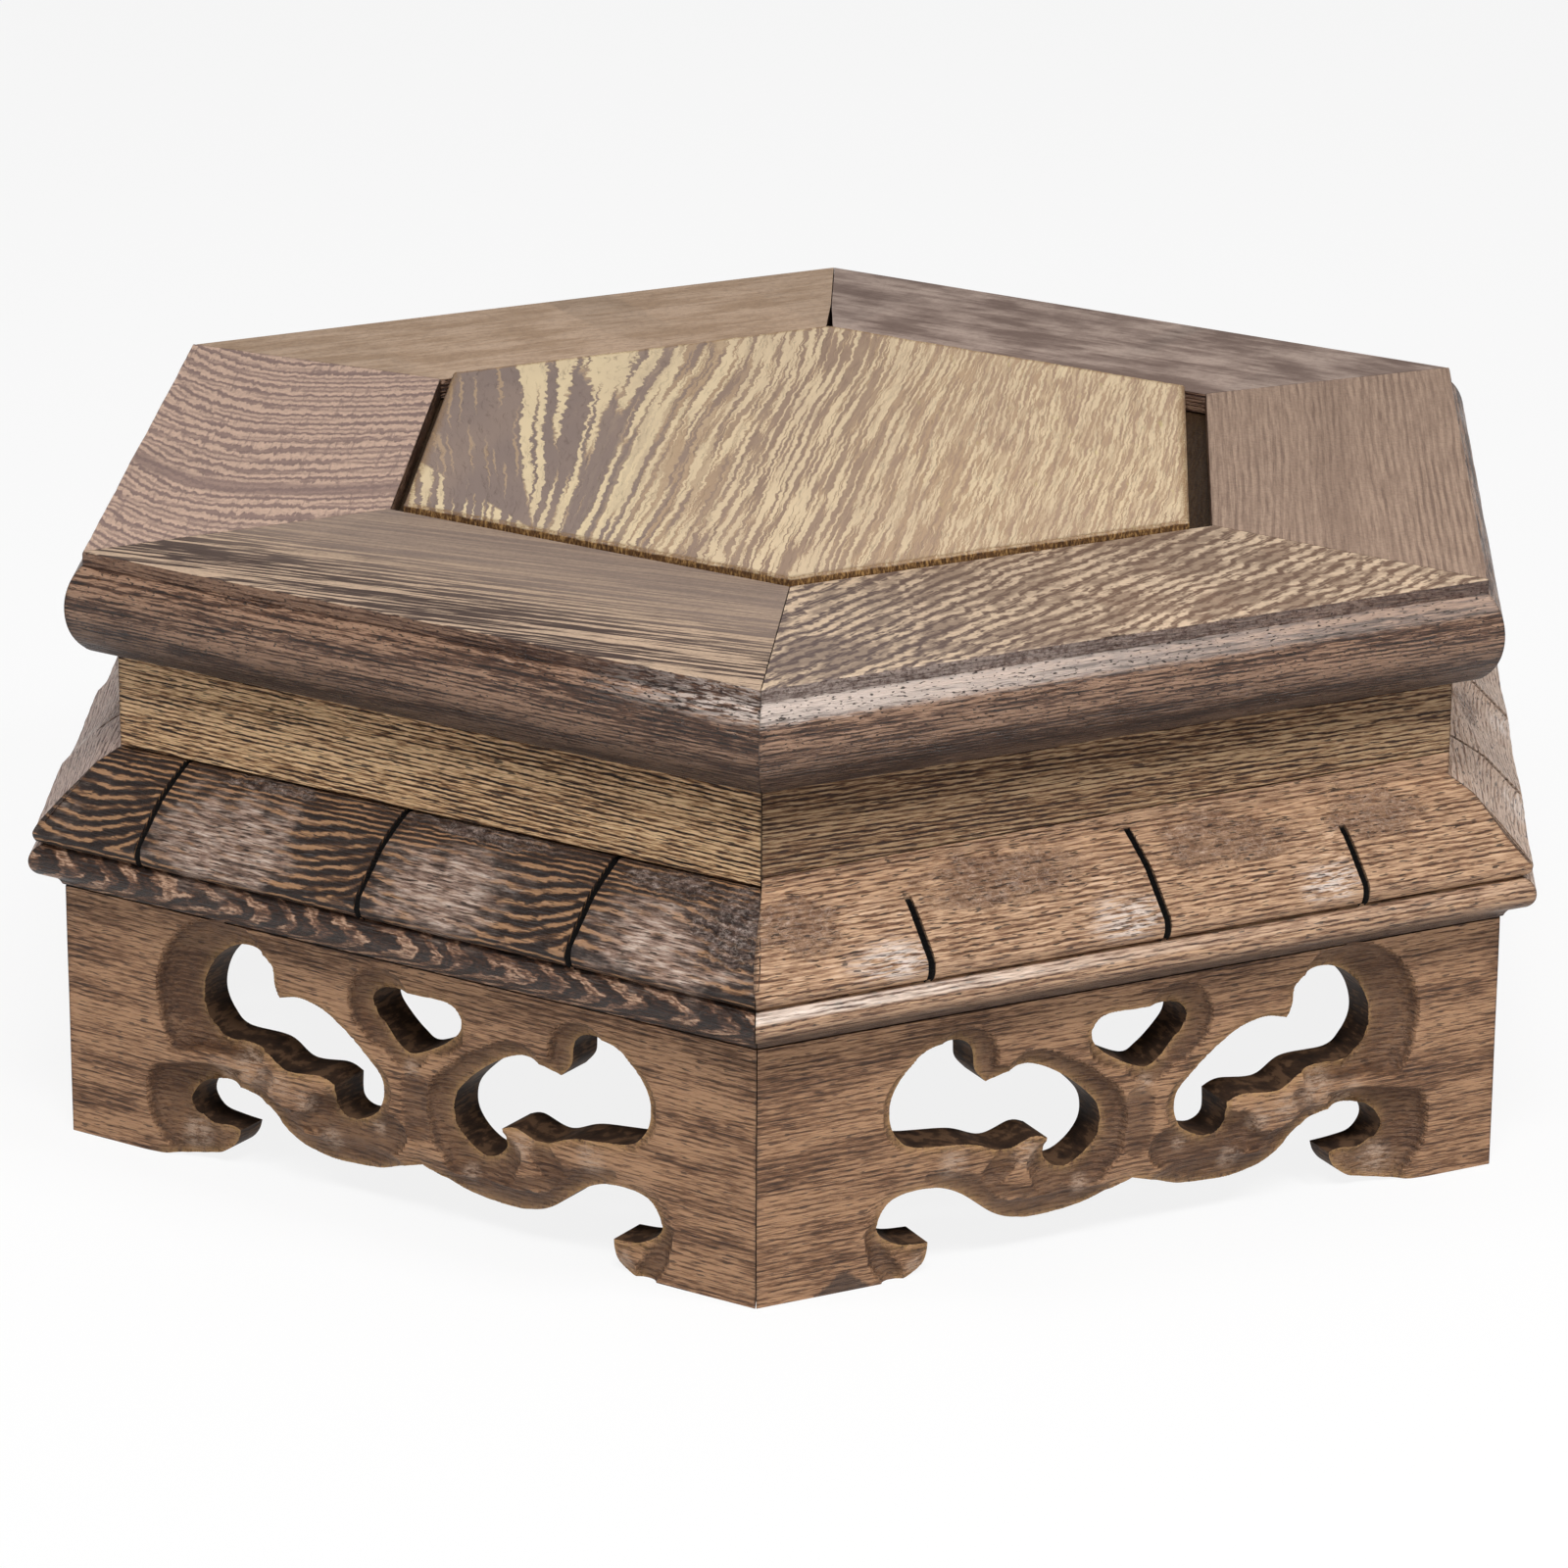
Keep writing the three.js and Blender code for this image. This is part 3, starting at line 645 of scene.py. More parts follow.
# %% Finish: waist
def waist_finish(side):
    f = Finish("waist_wood_" + side["name"])
    spot = f.place(side["turn"])
    x, y = f.part(spot, 0), f.part(spot, 1)
    seed = side["seed"]
    lines = edge_grain(f, spot, seed, 0.62, tilt=0.022, least=0.3, most=1.0)
    broad = f.rise(f.grain(spot, (5, 40, 2.2), seed=seed + 9, detail=2), 0.3, 0.7, -0.2, 0.2)
    level = f.rise(f.plus(lines, broad), -0.25, 1.3)
    colour = f.ramp(level, (0.08, "1f0d05"), (0.42, "6a4528"), (0.70, "af865d"), (1.0, "eac598"))
    dashes = pores_of(f, spot, seed + 5, 2.2, 0.64)
    colour = f.mix(f.times(dashes, 0.85), colour, "2e1b12")
    if side["name"] == "front_right":
        colour = f.mix(f.rise(y, -45, 30, 0.50, 0.40), colour, "3f2412")
    colour = f.seam(colour, x, y, f.grain(spot, (0.6, 0.6, 1.2), seed=seed, detail=2))
    roughness = f.rise(level, 0.0, 1.0, 0.62, 0.44)
    height = f.weigh(dashes, -0.9, f.times(lines, 0.9))
    return f.done(colour, roughness, f.bump(height, 0.2, 0.75), Specular_IOR_Level=0.45)


for side in SIDES:
    side["waist_finish"] = waist_finish(side)
print("waist finishes made")

# %% [markdown]
# The front left moulding is the richest wood on the stand: dark, with thin light lines on the
# slope and light crescents on the bead. Its layers lean in section, so they sag where a scoop
# cuts in. On the bead the rings are bent by the square of the height, which makes them arcs.

# %% Finish: the banded wood of the shoulder
# On each side: whether it is the dark, boldly banded wood, and the colours of dark lines,
# ground and light lines.
SHOULDER_LOOKS = {
    "front_left": (True, "1e0e07", "342014", "a87f5b"),
    "front_right": (False, "391d0e", "825c41", "c8a280"),
    "right": (False, "6a4c3a", "a98a74", "cdb29e"),
    "back_right": (False, "412c20", "7d604c", "b0927a"),
    "back_left": (False, "4a3224", "8f7058", "c0a086"),
    "left": (False, "543a2f", "917468", "c6ab9c"),
}
BAND_LEAN = math.radians(22)
BAND_PITCH = 0.52
BEAD_HEIGHT = 36.5
CRESCENT_PITCH = 5.6


def banded_slope(f, spot, seed, looks):
    """Dark wood with thin light lines that sag where a scoop cuts into the layers."""
    x, z = f.part(spot, 0), f.part(spot, 2)
    level = f.weigh(x, math.cos(BAND_LEAN), f.times(z, math.sin(BAND_LEAN)))
    drift = f.grain(spot, (10, 16, 10), seed=seed, detail=1)
    waver = f.grain(spot, (2.0, 3.4, 2.0), seed=seed + 3, detail=3, rough=0.6)
    bend = f.weigh(waver, 1.0, f.times(drift, 2.2))
    band = f.waves(level, BAND_PITCH, bend, -1.0, 1.0)
    force = f.rise(f.grain(spot, (1.6, 7, 1.6), seed=seed + 19, detail=2), 0.35, 0.55, 0.62, 1.0)
    fibres = f.grain(spot, (0.25, 2.6, 0.22), seed=seed + 6, detail=2.5, rough=0.65)
    level = f.plus(f.times(band, force), f.rise(fibres, 0.3, 0.7, -0.16, 0.16))
    dark, ground, light = looks
    return f.ramp(level, (0.05, dark), (0.45, ground), (0.72, "67472f"), (0.92, light))


def banded_bead(f, spot, seed):
    """The same wood on the bead: light crescents, one behind the other, round dark cores."""
    y, z = f.part(spot, 1), f.part(spot, 2)
    off_middle = f.plus(z, -BEAD_HEIGHT)
    drift = f.grain(spot, (9, 15, 9), seed=seed, detail=1)
    waver = f.grain(spot, (1.6, 3.0, 1.3), seed=seed + 3, detail=3.5, rough=0.65)
    level = f.weigh(f.times(off_middle, off_middle), 1.3, y)
    bend = f.weigh(drift, 2.2, f.times(waver, 1.1))
    band = f.waves(level, CRESCENT_PITCH, bend, -1.0, 1.0)
    rings = f.waves(level, CRESCENT_PITCH / 3, f.times(bend, 3.0), -1.0, 1.0)
    fibres = f.grain(spot, (0.3, 1.6, 0.3), seed=seed + 21, detail=3, rough=0.65)
    force = f.rise(f.grain(spot, (2.2, 4.0, 1.6), seed=seed + 27, detail=2), 0.35, 0.6, 0.45, 1.0)
    tone = f.weigh(rings, 0.3, f.times(band, 0.7))
    tone = f.plus(f.times(tone, force), f.rise(fibres, 0.3, 0.7, -0.2, 0.25))
    return f.ramp(tone, (0.1, "22120a"), (0.4, "43291a"), (0.7, "7a563f"), (1.0, "c29e83"))


print("light lines every", BAND_PITCH, "mm, crescents every", CRESCENT_PITCH, "mm")


# %% Finish: shoulder
def shoulder_finish(side):
    banded, *looks = SHOULDER_LOOKS[side["name"]]
    f = Finish("shoulder_wood_" + side["name"])
    spot = f.place(side["turn"])
    x, y, z = f.parts(spot)
    seed = side["seed"]
    lines = edge_grain(f, spot, seed + 8, 0.5 if banded else 0.7, steep=-0.35)
    level = f.rise(lines, -0.4, 1.4)
    wear_and_sheen, torn, kerf = f.mark("wear_and_sheen"), f.mark("torn"), f.mark("kerf")
    scratches = f.grain(spot, (0.35, 3.4, 0.3), seed=seed + 11, detail=3, rough=0.65)
    if banded:
        on_bead = f.rise(z, QUIRK_HEIGHT + 0.1, QUIRK_HEIGHT + 0.3, 1.0, 0.0)
        colour = f.mix(on_bead, banded_slope(f, spot, seed, looks), banded_bead(f, spot, seed))
        # On the dark banded side the pale patches are scratched wood with a painted sheen.
        scrape_and_sheen = f.ramp(scratches, (0.34, "34241c"), (0.45, "85695a"), (0.56, "b59c8c"),
                         (0.70, "dcc9bb"))
        blots = f.grain(spot, (1.5, 3.0, 1.5), seed=seed + 13, detail=3, rough=0.6)
        pale = f.rise(f.weigh(blots, 1.7, wear_and_sheen), 1.0, 1.95, 0.0, 0.92)
        torn_tones = "22140e", "4b3830", "7d6960", "c6b6ac"
    else:
        colour = f.ramp(level, (0.0, looks[0]), (0.5, looks[1]), (1.0, looks[2]))
        # On the other sides the pale patches are a painted highlight, near white, left of each saw
        # cut.
        scrape_and_sheen = f.mix(0.75, colour, "efe0d6")
        pale = f.times(wear_and_sheen, f.rise(scratches, 0.42, 0.60))
        torn_tones = "43291b", "70503b", "917059", "c4ab9b"
    colour = f.mix(pale, colour, scrape_and_sheen)
    mottle = f.grain(spot, (0.8, 1.5, 0.8), seed=seed + 14, detail=4, rough=0.75)
    ripped = f.ramp(mottle, *zip((0.36, 0.48, 0.58, 0.70), torn_tones))
    winding = f.grain(spot, (1.3, 2.0, 1.3), seed=seed + 25, detail=3, rough=0.6)
    # Pale threads in the torn patches: lighter torn fibres, with painted glints on them.
    threads = f.rise(f.off(winding, 0.5), 0.004, 0.035, 0.22, 0.0)
    ripped = f.mix(threads, ripped, "dccdc2")
    shred = f.grain(spot, (1.6, 5.0, 1.6), seed=seed + 23, detail=4, rough=0.75)
    patchy = f.rise(f.weigh(shred, 2.4, torn), 1.6, 2.3, 0.0, 0.85 if banded else 0.7)
    colour = f.mix(patchy, colour, ripped)
    pores = pores_of(f, spot, seed + 17, 1.7, 0.65)
    colour = f.mix(f.times(pores, 0.8), colour, "20120b")
    if side["name"] == "front_right":
        # Painted highlight: a near-white stripe along the top of the bead, fading away from the
        # front corner.
        painted_bead_highlight = f.times(f.rise(z, 36.8, 37.4), f.rise(z, 38.1, 38.3, 1.0, 0.0))
        painted_bead_highlight = f.times(painted_bead_highlight, f.rise(y, -50, 20, 0.85, 0.1))
        colour = f.mix(f.times(painted_bead_highlight, level), colour, "f0e0d4")
        # Painted shade: the bead's lower part and the cove below it are darker towards the bottom.
        colour = f.mix(f.rise(z, 34.2, 36.5, 0.85, 0.0), colour, "3b2415")
    # Painted shade: the saw cuts are painted near black.
    kerf = f.rise(kerf, 0.0, 0.2)
    colour = f.mix(kerf, colour, "0b0604")
    colour = f.seam(colour, x, y, scratches)
    roughness = f.blend(wear_and_sheen, f.rise(level, 0.0, 1.0, 0.50, 0.38), 0.36)
    roughness = f.blend(torn, roughness, 0.38)
    roughness = f.blend(kerf, roughness, 0.95)
    height = f.weigh(pores, -0.9, f.times(level, 1.2))
    height = f.weigh(f.times(mottle, patchy), 5.0, height)
    height = f.weigh(f.times(scratches, wear_and_sheen), 1.5, height)
    return f.done(colour, roughness, f.bump(height, 0.2, 0.8), Specular_IOR_Level=0.5)


for side in SIDES:
    side["shoulder_finish"] = shoulder_finish(side)
print("shoulder finishes made")


# %% Finish: carved boards
def apron_finish(side):
    f = Finish("apron_wood_" + side["name"])
    spot = f.place(side["turn"])
    x, y, z = f.parts(spot)
    seed = side["seed"]
    lines = edge_grain(f, spot, seed, 0.72, steep=0.3, tilt=0.012, most=0.62)
    broad = f.rise(f.grain(spot, (4, 22, 3.5), seed=seed + 9, detail=3), 0.3, 0.7, -0.35, 0.35)
    level = f.rise(f.plus(lines, broad), -0.4, 1.4)
    colour = f.ramp(level, (0.0, "2f190d"), (0.4, "5f3f26"), (0.68, "815b3e"), (1.0, "b48a66"))
    dashes = pores_of(f, spot, seed + 5, 2.0, 0.64)
    colour = f.mix(f.times(dashes, 0.75), colour, "3c2618")
    carved, polish_and_highlight, rim = f.mark("carved"), f.mark("polish_and_highlight"), f.mark("rim")
    fuzz = f.grain(spot, (0.35, 0.5, 0.9), seed=seed + 8, detail=3, rough=0.65)
    tool = f.grain(spot, (0.5, 2.0, 0.6), seed=seed + 11, detail=4, rough=0.65)
    cut = f.ramp(tool, (0.3, "28150a"), (0.5, "472b18"), (0.7, "694627"))
    colour = f.mix(f.times(carved, 0.92), colour, cut)
    golden = f.times(rim, f.rise(fuzz, 0.34, 0.54))
    colour = f.mix(f.times(golden, 0.85), colour, "b18a57")
    # Painted highlight: the polished spots are lifted towards a pale satin colour.
    glints = f.grain(spot, (0.5, 1.6, 0.45), seed=seed + 13, detail=4, rough=0.75)
    light = f.times(polish_and_highlight, f.rise(glints, 0.40, 0.60, 0.0, 0.62))
    colour = f.mix(light, colour, "c2a68f")
    if side["name"] == "front_right":
        spread = f.off(y, -39.4)
        stain = f.weigh(fuzz, -1.6, f.weigh(z, 1.4, spread))
        colour = f.mix(f.rise(stain, 2.4, 3.6, 0.8, 0.0), colour, "2f201a")
    colour = f.seam(colour, x, y, fuzz)
    roughness = f.blend(polish_and_highlight, f.rise(level, 0.0, 1.0, 0.60, 0.46), 0.32)
    height = f.weigh(dashes, -0.9, f.times(lines, 0.8))
    height = f.weigh(f.times(tool, carved), 2.0, height)
    return f.done(colour, roughness, f.bump(height, 0.18, 0.7), Specular_IOR_Level=0.45)


def wall_finish():
    f = Finish("apron_wall_wood")
    spot = f.place()
    saw_marks = f.grain(spot, (2.2, 2.2, 0.4), seed=3, detail=3, rough=0.6)
    blots = f.grain(spot, (3, 3, 3), seed=9, detail=3)
    level = f.weigh(blots, 0.8, saw_marks)
    colour = f.ramp(level, (0.6, "1c110b"), (0.9, "3a281b"), (1.2, "5b4330"))
    return f.done(colour, 0.7, f.bump(saw_marks, 0.2, 0.6), Specular_IOR_Level=0.3)


for side in SIDES:
    side["apron_finish"] = apron_finish(side)
WALL_FINISH = wall_finish()
print("apron finishes made")

# %% [markdown]
# ## The top rails
#
# A rail is a flat bar with a groove for the panel's tongue on its inside and a rounded nose on
# its outside, a small step below the top face. The section is drawn corner by corner, with its
# arrises broken a little as sandpaper leaves them. The mitres run from the frame's outer corner
# to where the inside edges of two neighbours cross, because the rails differ in width. At the
# back corner the inner end of the joint has opened, so a second cut shaves it.

# %% Top rails: section
GROOVE_DEPTH = 7
GROOVE_BOTTOM = 67.7
GROOVE_TOP = 72.3
ARRIS = 0.3
NOSE_HALF_WIDTH = 4.5
NOSE_HALF_HEIGHT = 6.1
NOSE_STEPS = 22
RAIL_PITCH = 1.1
RAIL_GAP = 0.14


def rail_section(inner):
    middle_x = RAIL_NOSE - NOSE_HALF_WIDTH
    middle_z = RAIL_BOTTOM + NOSE_HALF_HEIGHT
    section = [
        (inner + ARRIS, RAIL_BOTTOM),
        (inner, RAIL_BOTTOM + ARRIS),
        (inner, GROOVE_BOTTOM),
        (inner + GROOVE_DEPTH, GROOVE_BOTTOM),
        (inner + GROOVE_DEPTH, GROOVE_TOP),
        (inner, GROOVE_TOP),
        (inner, HEIGHT - ARRIS),
        (inner + 0.3 * ARRIS, HEIGHT - 0.3 * ARRIS),
        (inner + ARRIS, HEIGHT),
        (TOP_EDGE - ARRIS, HEIGHT),
        (TOP_EDGE - 0.3 * ARRIS, HEIGHT - 0.3 * ARRIS),
        (TOP_EDGE, HEIGHT - ARRIS),
    ]
    start = math.acos((TOP_EDGE - middle_x) / NOSE_HALF_WIDTH)
    for i in range(NOSE_STEPS + 1):
        angle = start - (start + math.pi / 2) * i / NOSE_STEPS
        section.append((
            middle_x + NOSE_HALF_WIDTH * math.cos(angle),
            middle_z + NOSE_HALF_HEIGHT * math.sin(angle),
        ))
    return section


print("rail section has", len(rail_section(50)), "corners")


# %% Top rails: mitres
def crossing(inner, neighbour):
    """How far along the side the inside edges of two neighbours cross."""
    return (neighbour - inner * math.cos(SIDE_TURN)) / math.sin(SIDE_TURN)


def rail_mitre(index, end):
    """A rail's mitre: its slope and its offset, as in y = slope * x + offset."""
    inner = SIDES[index]["inner"]
    neighbour = SIDES[(index + end) % len(SIDES)]["inner"]
    corner = end * RAIL_NOSE * MITRE_SLOPE
    inside = end * crossing(inner, neighbour)
    slope = (corner - inside) / (RAIL_NOSE - inner)
    return slope, corner - slope * RAIL_NOSE


def saw_rail_end(shape, index, end, gap, lean=0.0, pivot=RAIL_NOSE):
    """Cuts one end of a rail. A lean opens the joint towards the inside from the pivot on."""
    slope, offset = rail_mitre(index, end)
    angle = math.atan(slope) + end * lean
    outwards = Vector((-math.sin(angle), math.cos(angle), 0)) * end
    place = Vector((pivot, slope * pivot + offset, 0))
    saw(shape, place - gap / 2 * outwards, outwards)


BACK_GAP_LEAN = math.radians(2.0)
BACK_GAP_PIVOT = 66.5
NOSE_SWELL = 0.12
SMALL_SWELL = 0.05
SWELL_BACK = 0.1
STEP_HEIGHT = 73.4
CHIP_IN = 0.35
CHIP_DOWN = 0.15


def work_nose(shape, side):
    """Hand work on the nose: it swells and dips a little, and the step is chipped in places."""
    seed = side["seed"]
    for corner in shape.verts:
        x, y, z = corner.co
        if x < TOP_EDGE - 0.2:
            continue
        swell = NOSE_SWELL * wander(0, y, 0.5 * z, 19, seed)
        swell += SMALL_SWELL * wander(x, y, z, 4, seed)
        corner.co.x = min(x + swell - SWELL_BACK, RAIL_NOSE)
        chipped = ease(wander(x, y, 0, 5, seed + 9), 0.25, 0.6)
        if z > STEP_HEIGHT:
            corner.co.x -= CHIP_IN * chipped
            corner.co.z -= CHIP_DOWN * chipped


def top_rail(index):
    side = SIDES[index]
    shape = bar(rail_section(side["inner"]), RAIL_NOSE, RAIL_PITCH)
    for end in (-1, 1):
        saw_rail_end(shape, index, end, RAIL_GAP)
    if side["name"] == "back_right":
        saw_rail_end(shape, index, 1, RAIL_GAP, BACK_GAP_LEAN, BACK_GAP_PIVOT)
    if side["name"] == "back_left":
        saw_rail_end(shape, index, -1, RAIL_GAP, BACK_GAP_LEAN, BACK_GAP_PIVOT)
    work_nose(shape, side)
    finish_side(shape, side, "frame_rail", "top_rail", [side["rail_finish"]])


for index in range(len(SIDES)):
    top_rail(index)

# %% [markdown]
# ## The panel
#
# The panel is one board with a tongue all round that lies loose in the rails' grooves. Its
# field stands a little proud. A face with six corners is extruded to the tongue's height and
# inset to the field. The field's edges are subdivided there, and it is extruded twice, the
# second time drawn in a little. The four slanted edges were sawn across the grain and never
# cleaned up, so their rim is pushed about a little.

# %% The panel
TONGUE_BOTTOM = 68
TONGUE_TOP = 72
TONGUE_REACH = 6
PANEL_EDGE_GAP = 0.3
PANEL_LEFT_EDGE = -48.1
PANEL_RIGHT_EDGE = 49.4
RIM_CUTS = 90
RIM_BREAK = 0.28
TORN_RIM = 0.9
NEAR_EDGE = 0.6
FRAY_BACK = 0.16
FRAY = 0.30
BROAD_FRAY = 0.22
FRAY_DOWN = 0.12


def panel_corners(reach):
    """The outline's corners. The right and left edges stand back from their rails."""
    distances = [side["inner"] - PANEL_EDGE_GAP + reach for side in SIDES]
    distances[0] = PANEL_RIGHT_EDGE + reach
    distances[3] = -PANEL_LEFT_EDGE + reach
    corners = []
    for index, side in enumerate(SIDES):
        here = distances[index]
        along = crossing(here, distances[(index + 1) % len(SIDES)])
        turn = side["turn"]
        corners.append((
            here * math.cos(turn) - along * math.sin(turn),
            here * math.sin(turn) + along * math.cos(turn),
        ))
    return corners


def fray(shape):
    """Roughens the field's rim where it was sawn across the grain."""
    for corner in shape.verts:
        x, y, z = corner.co
        clean = min(abs(x - PANEL_RIGHT_EDGE), abs(x - PANEL_LEFT_EDGE)) < NEAR_EDGE
        if clean or z < PANEL_TOP - 0.5:
            continue
        away = Vector((x, y, 0)).normalized()
        rough = FRAY * wander(x, y, z, 0.9, 3) + BROAD_FRAY * wander(x, y, z, 2.6, 8)
        corner.co -= (FRAY_BACK + rough) * away
        corner.co.z -= FRAY_DOWN * abs(rough)


def panel():
    shape = bmesh.new()
    outline = [shape.verts.new((x, y, TONGUE_BOTTOM)) for x, y in panel_corners(TONGUE_REACH)]
    tongue = shape.faces.new(outline)
    rise = bmesh.ops.extrude_face_region(shape, geom=[tongue])
    bmesh.ops.translate(shape, verts=corners_of(rise["geom"]),
                        vec=(0, 0, TONGUE_TOP - TONGUE_BOTTOM))
    top = [item for item in rise["geom"] if isinstance(item, bmesh.types.BMFace)]
    bmesh.ops.inset_region(shape, faces=top, thickness=TONGUE_REACH, use_even_offset=True)
    bmesh.ops.subdivide_edges(shape, edges=top[0].edges[:], cuts=RIM_CUTS)
    for lift, shrink in ((PANEL_TOP - TONGUE_TOP - RIM_BREAK, 0.0), (RIM_BREAK, RIM_BREAK)):
        rise = bmesh.ops.extrude_face_region(shape, geom=top)
        bmesh.ops.translate(shape, verts=corners_of(rise["geom"]), vec=(0, 0, lift))
        bmesh.ops.delete(shape, geom=top, context="FACES_ONLY")
        top = [item for item in rise["geom"] if isinstance(item, bmesh.types.BMFace)]
        for corner in corners_of(rise["geom"]):
            corner.co -= shrink * Vector((corner.co.x, corner.co.y, 0)).normalized()
    torn = shape.verts.layers.float.new("torn")
    for corner in top[0].verts:
        corner[torn] = 1.0
    bmesh.ops.inset_region(shape, faces=top, thickness=TORN_RIM, use_even_offset=True)
    for corner in top[0].verts:
        corner[torn] = 0.0
    fray(shape)
    finish_piece(shape, "striped_panel", "top_panel", 0.0, [PANEL_FINISH],
                 crease=25)


panel()

# %% [markdown]
# ## The waist
#
# Six plain boards stand under the frame. On the front right side the moulding below has a
# narrow strip left on top of its slope, flush with the waist, and the joint above it was not
# planed parallel: the strip is 1 mm high at one end and 3 mm at the other. So the waist board
# there is cut shorter on a slant, and the moulding's strip is cut to meet it.

# %% The waist
WAIST_PITCH = 4
WAIST_ARRIS = 0.15
RING_GAP = 0.12
STRIPS = {"front_right": (1.3, 3.0), "left": (1.0, 1.8), "back_right": (2.2, 1.1)}
STRIP_HALF = 47
JOINT_GAP = 0.22


def slant(side, extra):
    """A point and a direction for the slanted joint over a moulding's strip."""
    low, high = STRIPS[side["name"]]
    place = Vector((0, 0, SHOULDER_TOP + (low + high) / 2 + extra))
    climb = math.atan2(high - low, 2 * STRIP_HALF)
    return place, Vector((0, -math.sin(climb), math.cos(climb)))


def waist_board(side):
    section = [
        (RING_INSIDE, WAIST_BOTTOM),
        (RING_INSIDE, WAIST_TOP),
        (WAIST_OUTSIDE - WAIST_ARRIS, WAIST_TOP),
        (WAIST_OUTSIDE, WAIST_TOP - WAIST_ARRIS),
        (WAIST_OUTSIDE, WAIST_BOTTOM + WAIST_ARRIS),
        (WAIST_OUTSIDE - WAIST_ARRIS, WAIST_BOTTOM),
    ]
    shape = bar(section, RAIL_NOSE, WAIST_PITCH)
    if side["name"] in STRIPS:
        place, upwards = slant(side, JOINT_GAP)
        saw(shape, place, -upwards)
    mitre(shape, RING_GAP)
    finish_side(shape, side, "waist", "waist_board", [side["waist_finish"]])


for side in SIDES:
    waist_board(side)

# %% [markdown]
# ## The shoulder
#
# The shoulder is the stand's richest moulding: a rounded slope, a nose, a fine quirk, a bead
# and a small cove. Saw cuts across the slope divide it into petals, and each petal is scooped
# a little, deepest right of its middle. A bar with the full section is made first and divided
# finely. Each scoop is a shallow surface, and what stands above it is pressed down onto it,
# which leaves a crisp edge where the scoop runs out over the nose. The saw cuts get narrow
# strips of their own by bisecting the bar, and those strips are pressed to the cuts' floor.

# %% The shoulder: section
SLOPE_TOP = (81.8, SHOULDER_TOP)
SLOPE_PULL = (89.2, 45.2)
NOSE_TOP = (91.4, 41.9)
NOSE_PULL = (92.3, 40.2)
NOSE_FOOT = (91.5, 38.9)
QUIRK = (90.6, QUIRK_HEIGHT)
BEAD_MIDDLE = (90.4, 36.3)
BEAD_RADIUS = 2.0
BEAD_SWEEP = 150
COVE_PULL = (89.2, 34.2)
COVE_FOOT = (88.6, SHOULDER_BOTTOM + 0.05)
SHOULDER_HALF = BEAD_MIDDLE[0] + BEAD_RADIUS
SHOULDER_PITCH = 0.62
STRIP_FOOT = 0.15
SLOPE_STEPS = 24
UNDERCUT_STEPS = 8
BEAD_STEPS = 15
COVE_STEPS = 6


def bow(start, pull, end, steps):
    """Points on a curve that leaves start towards pull and comes to end from it."""
    points = []
    for i in range(1, steps + 1):
        t = i / steps
        a, b, c = (1 - t) ** 2, 2 * t * (1 - t), t * t
        points.append(tuple(a * s + b * p + c * e for s, p, e in zip(start, pull, end)))
    return points


def shoulder_section(strip):
    section = [(RING_INSIDE, COVE_FOOT[1]), (RING_INSIDE, SHOULDER_TOP + strip)]
    if strip:
        section.append((WAIST_OUTSIDE, SHOULDER_TOP + strip))
        section.append((WAIST_OUTSIDE, SHOULDER_TOP + STRIP_FOOT))
    section.append(SLOPE_TOP)
    section += bow(SLOPE_TOP, SLOPE_PULL, NOSE_TOP, SLOPE_STEPS)
    section += bow(NOSE_TOP, NOSE_PULL, NOSE_FOOT, UNDERCUT_STEPS)
    section.append(QUIRK)
    for i in range(1, BEAD_STEPS + 1):
        angle = math.radians(90 - BEAD_SWEEP * i / BEAD_STEPS)
        section.append((BEAD_MIDDLE[0] + BEAD_RADIUS * math.cos(angle),
                        BEAD_MIDDLE[1] + BEAD_RADIUS * math.sin(angle)))
    section += bow(section[-1], COVE_PULL, COVE_FOOT, COVE_STEPS)
    return section


print("shoulder section has", len(shoulder_section(0)), "corners")

# %% The shoulder: scoops
SCOOP_START = Vector((SLOPE_TOP[0], 0, SLOPE_TOP[1]))
SCOOP_FOOT = Vector((91.3, 0, 39.6))
SCOOP_DOWN = (SCOOP_FOOT - SCOOP_START).normalized()
SCOOP_OUT = Vector((-SCOOP_DOWN.z, 0, SCOOP_DOWN.x))
SCOOP_RUN = (SCOOP_FOOT - SCOOP_START).length
SCOOP_LIFT = 1.5
SCOOP_DEPTH = 1.75
SCOOP_TOP_SHARE = 0.62
SCOOP_WAVE = 0.10
SMALL_WAVE = 0.05
PETAL_REACH = 12


def petal_of(y, notches):
    """The petal's two edges at a place along the side."""
    reach = SHOULDER_HALF * MITRE_SLOPE + PETAL_REACH
    edges = [-reach, *notches, reach]
    for start, end in zip(edges, edges[1:]):
        if y < end:
            return start, end
    return edges[-2], edges[-1]


def hollow(share):
    """How deep a scoop is across a petal, from 0 to 1. It is deepest right of the middle."""
    share = min(max(share, 0.0), 1.0)
    return 2.05 * share ** 1.25 * (1 - share) ** 0.75


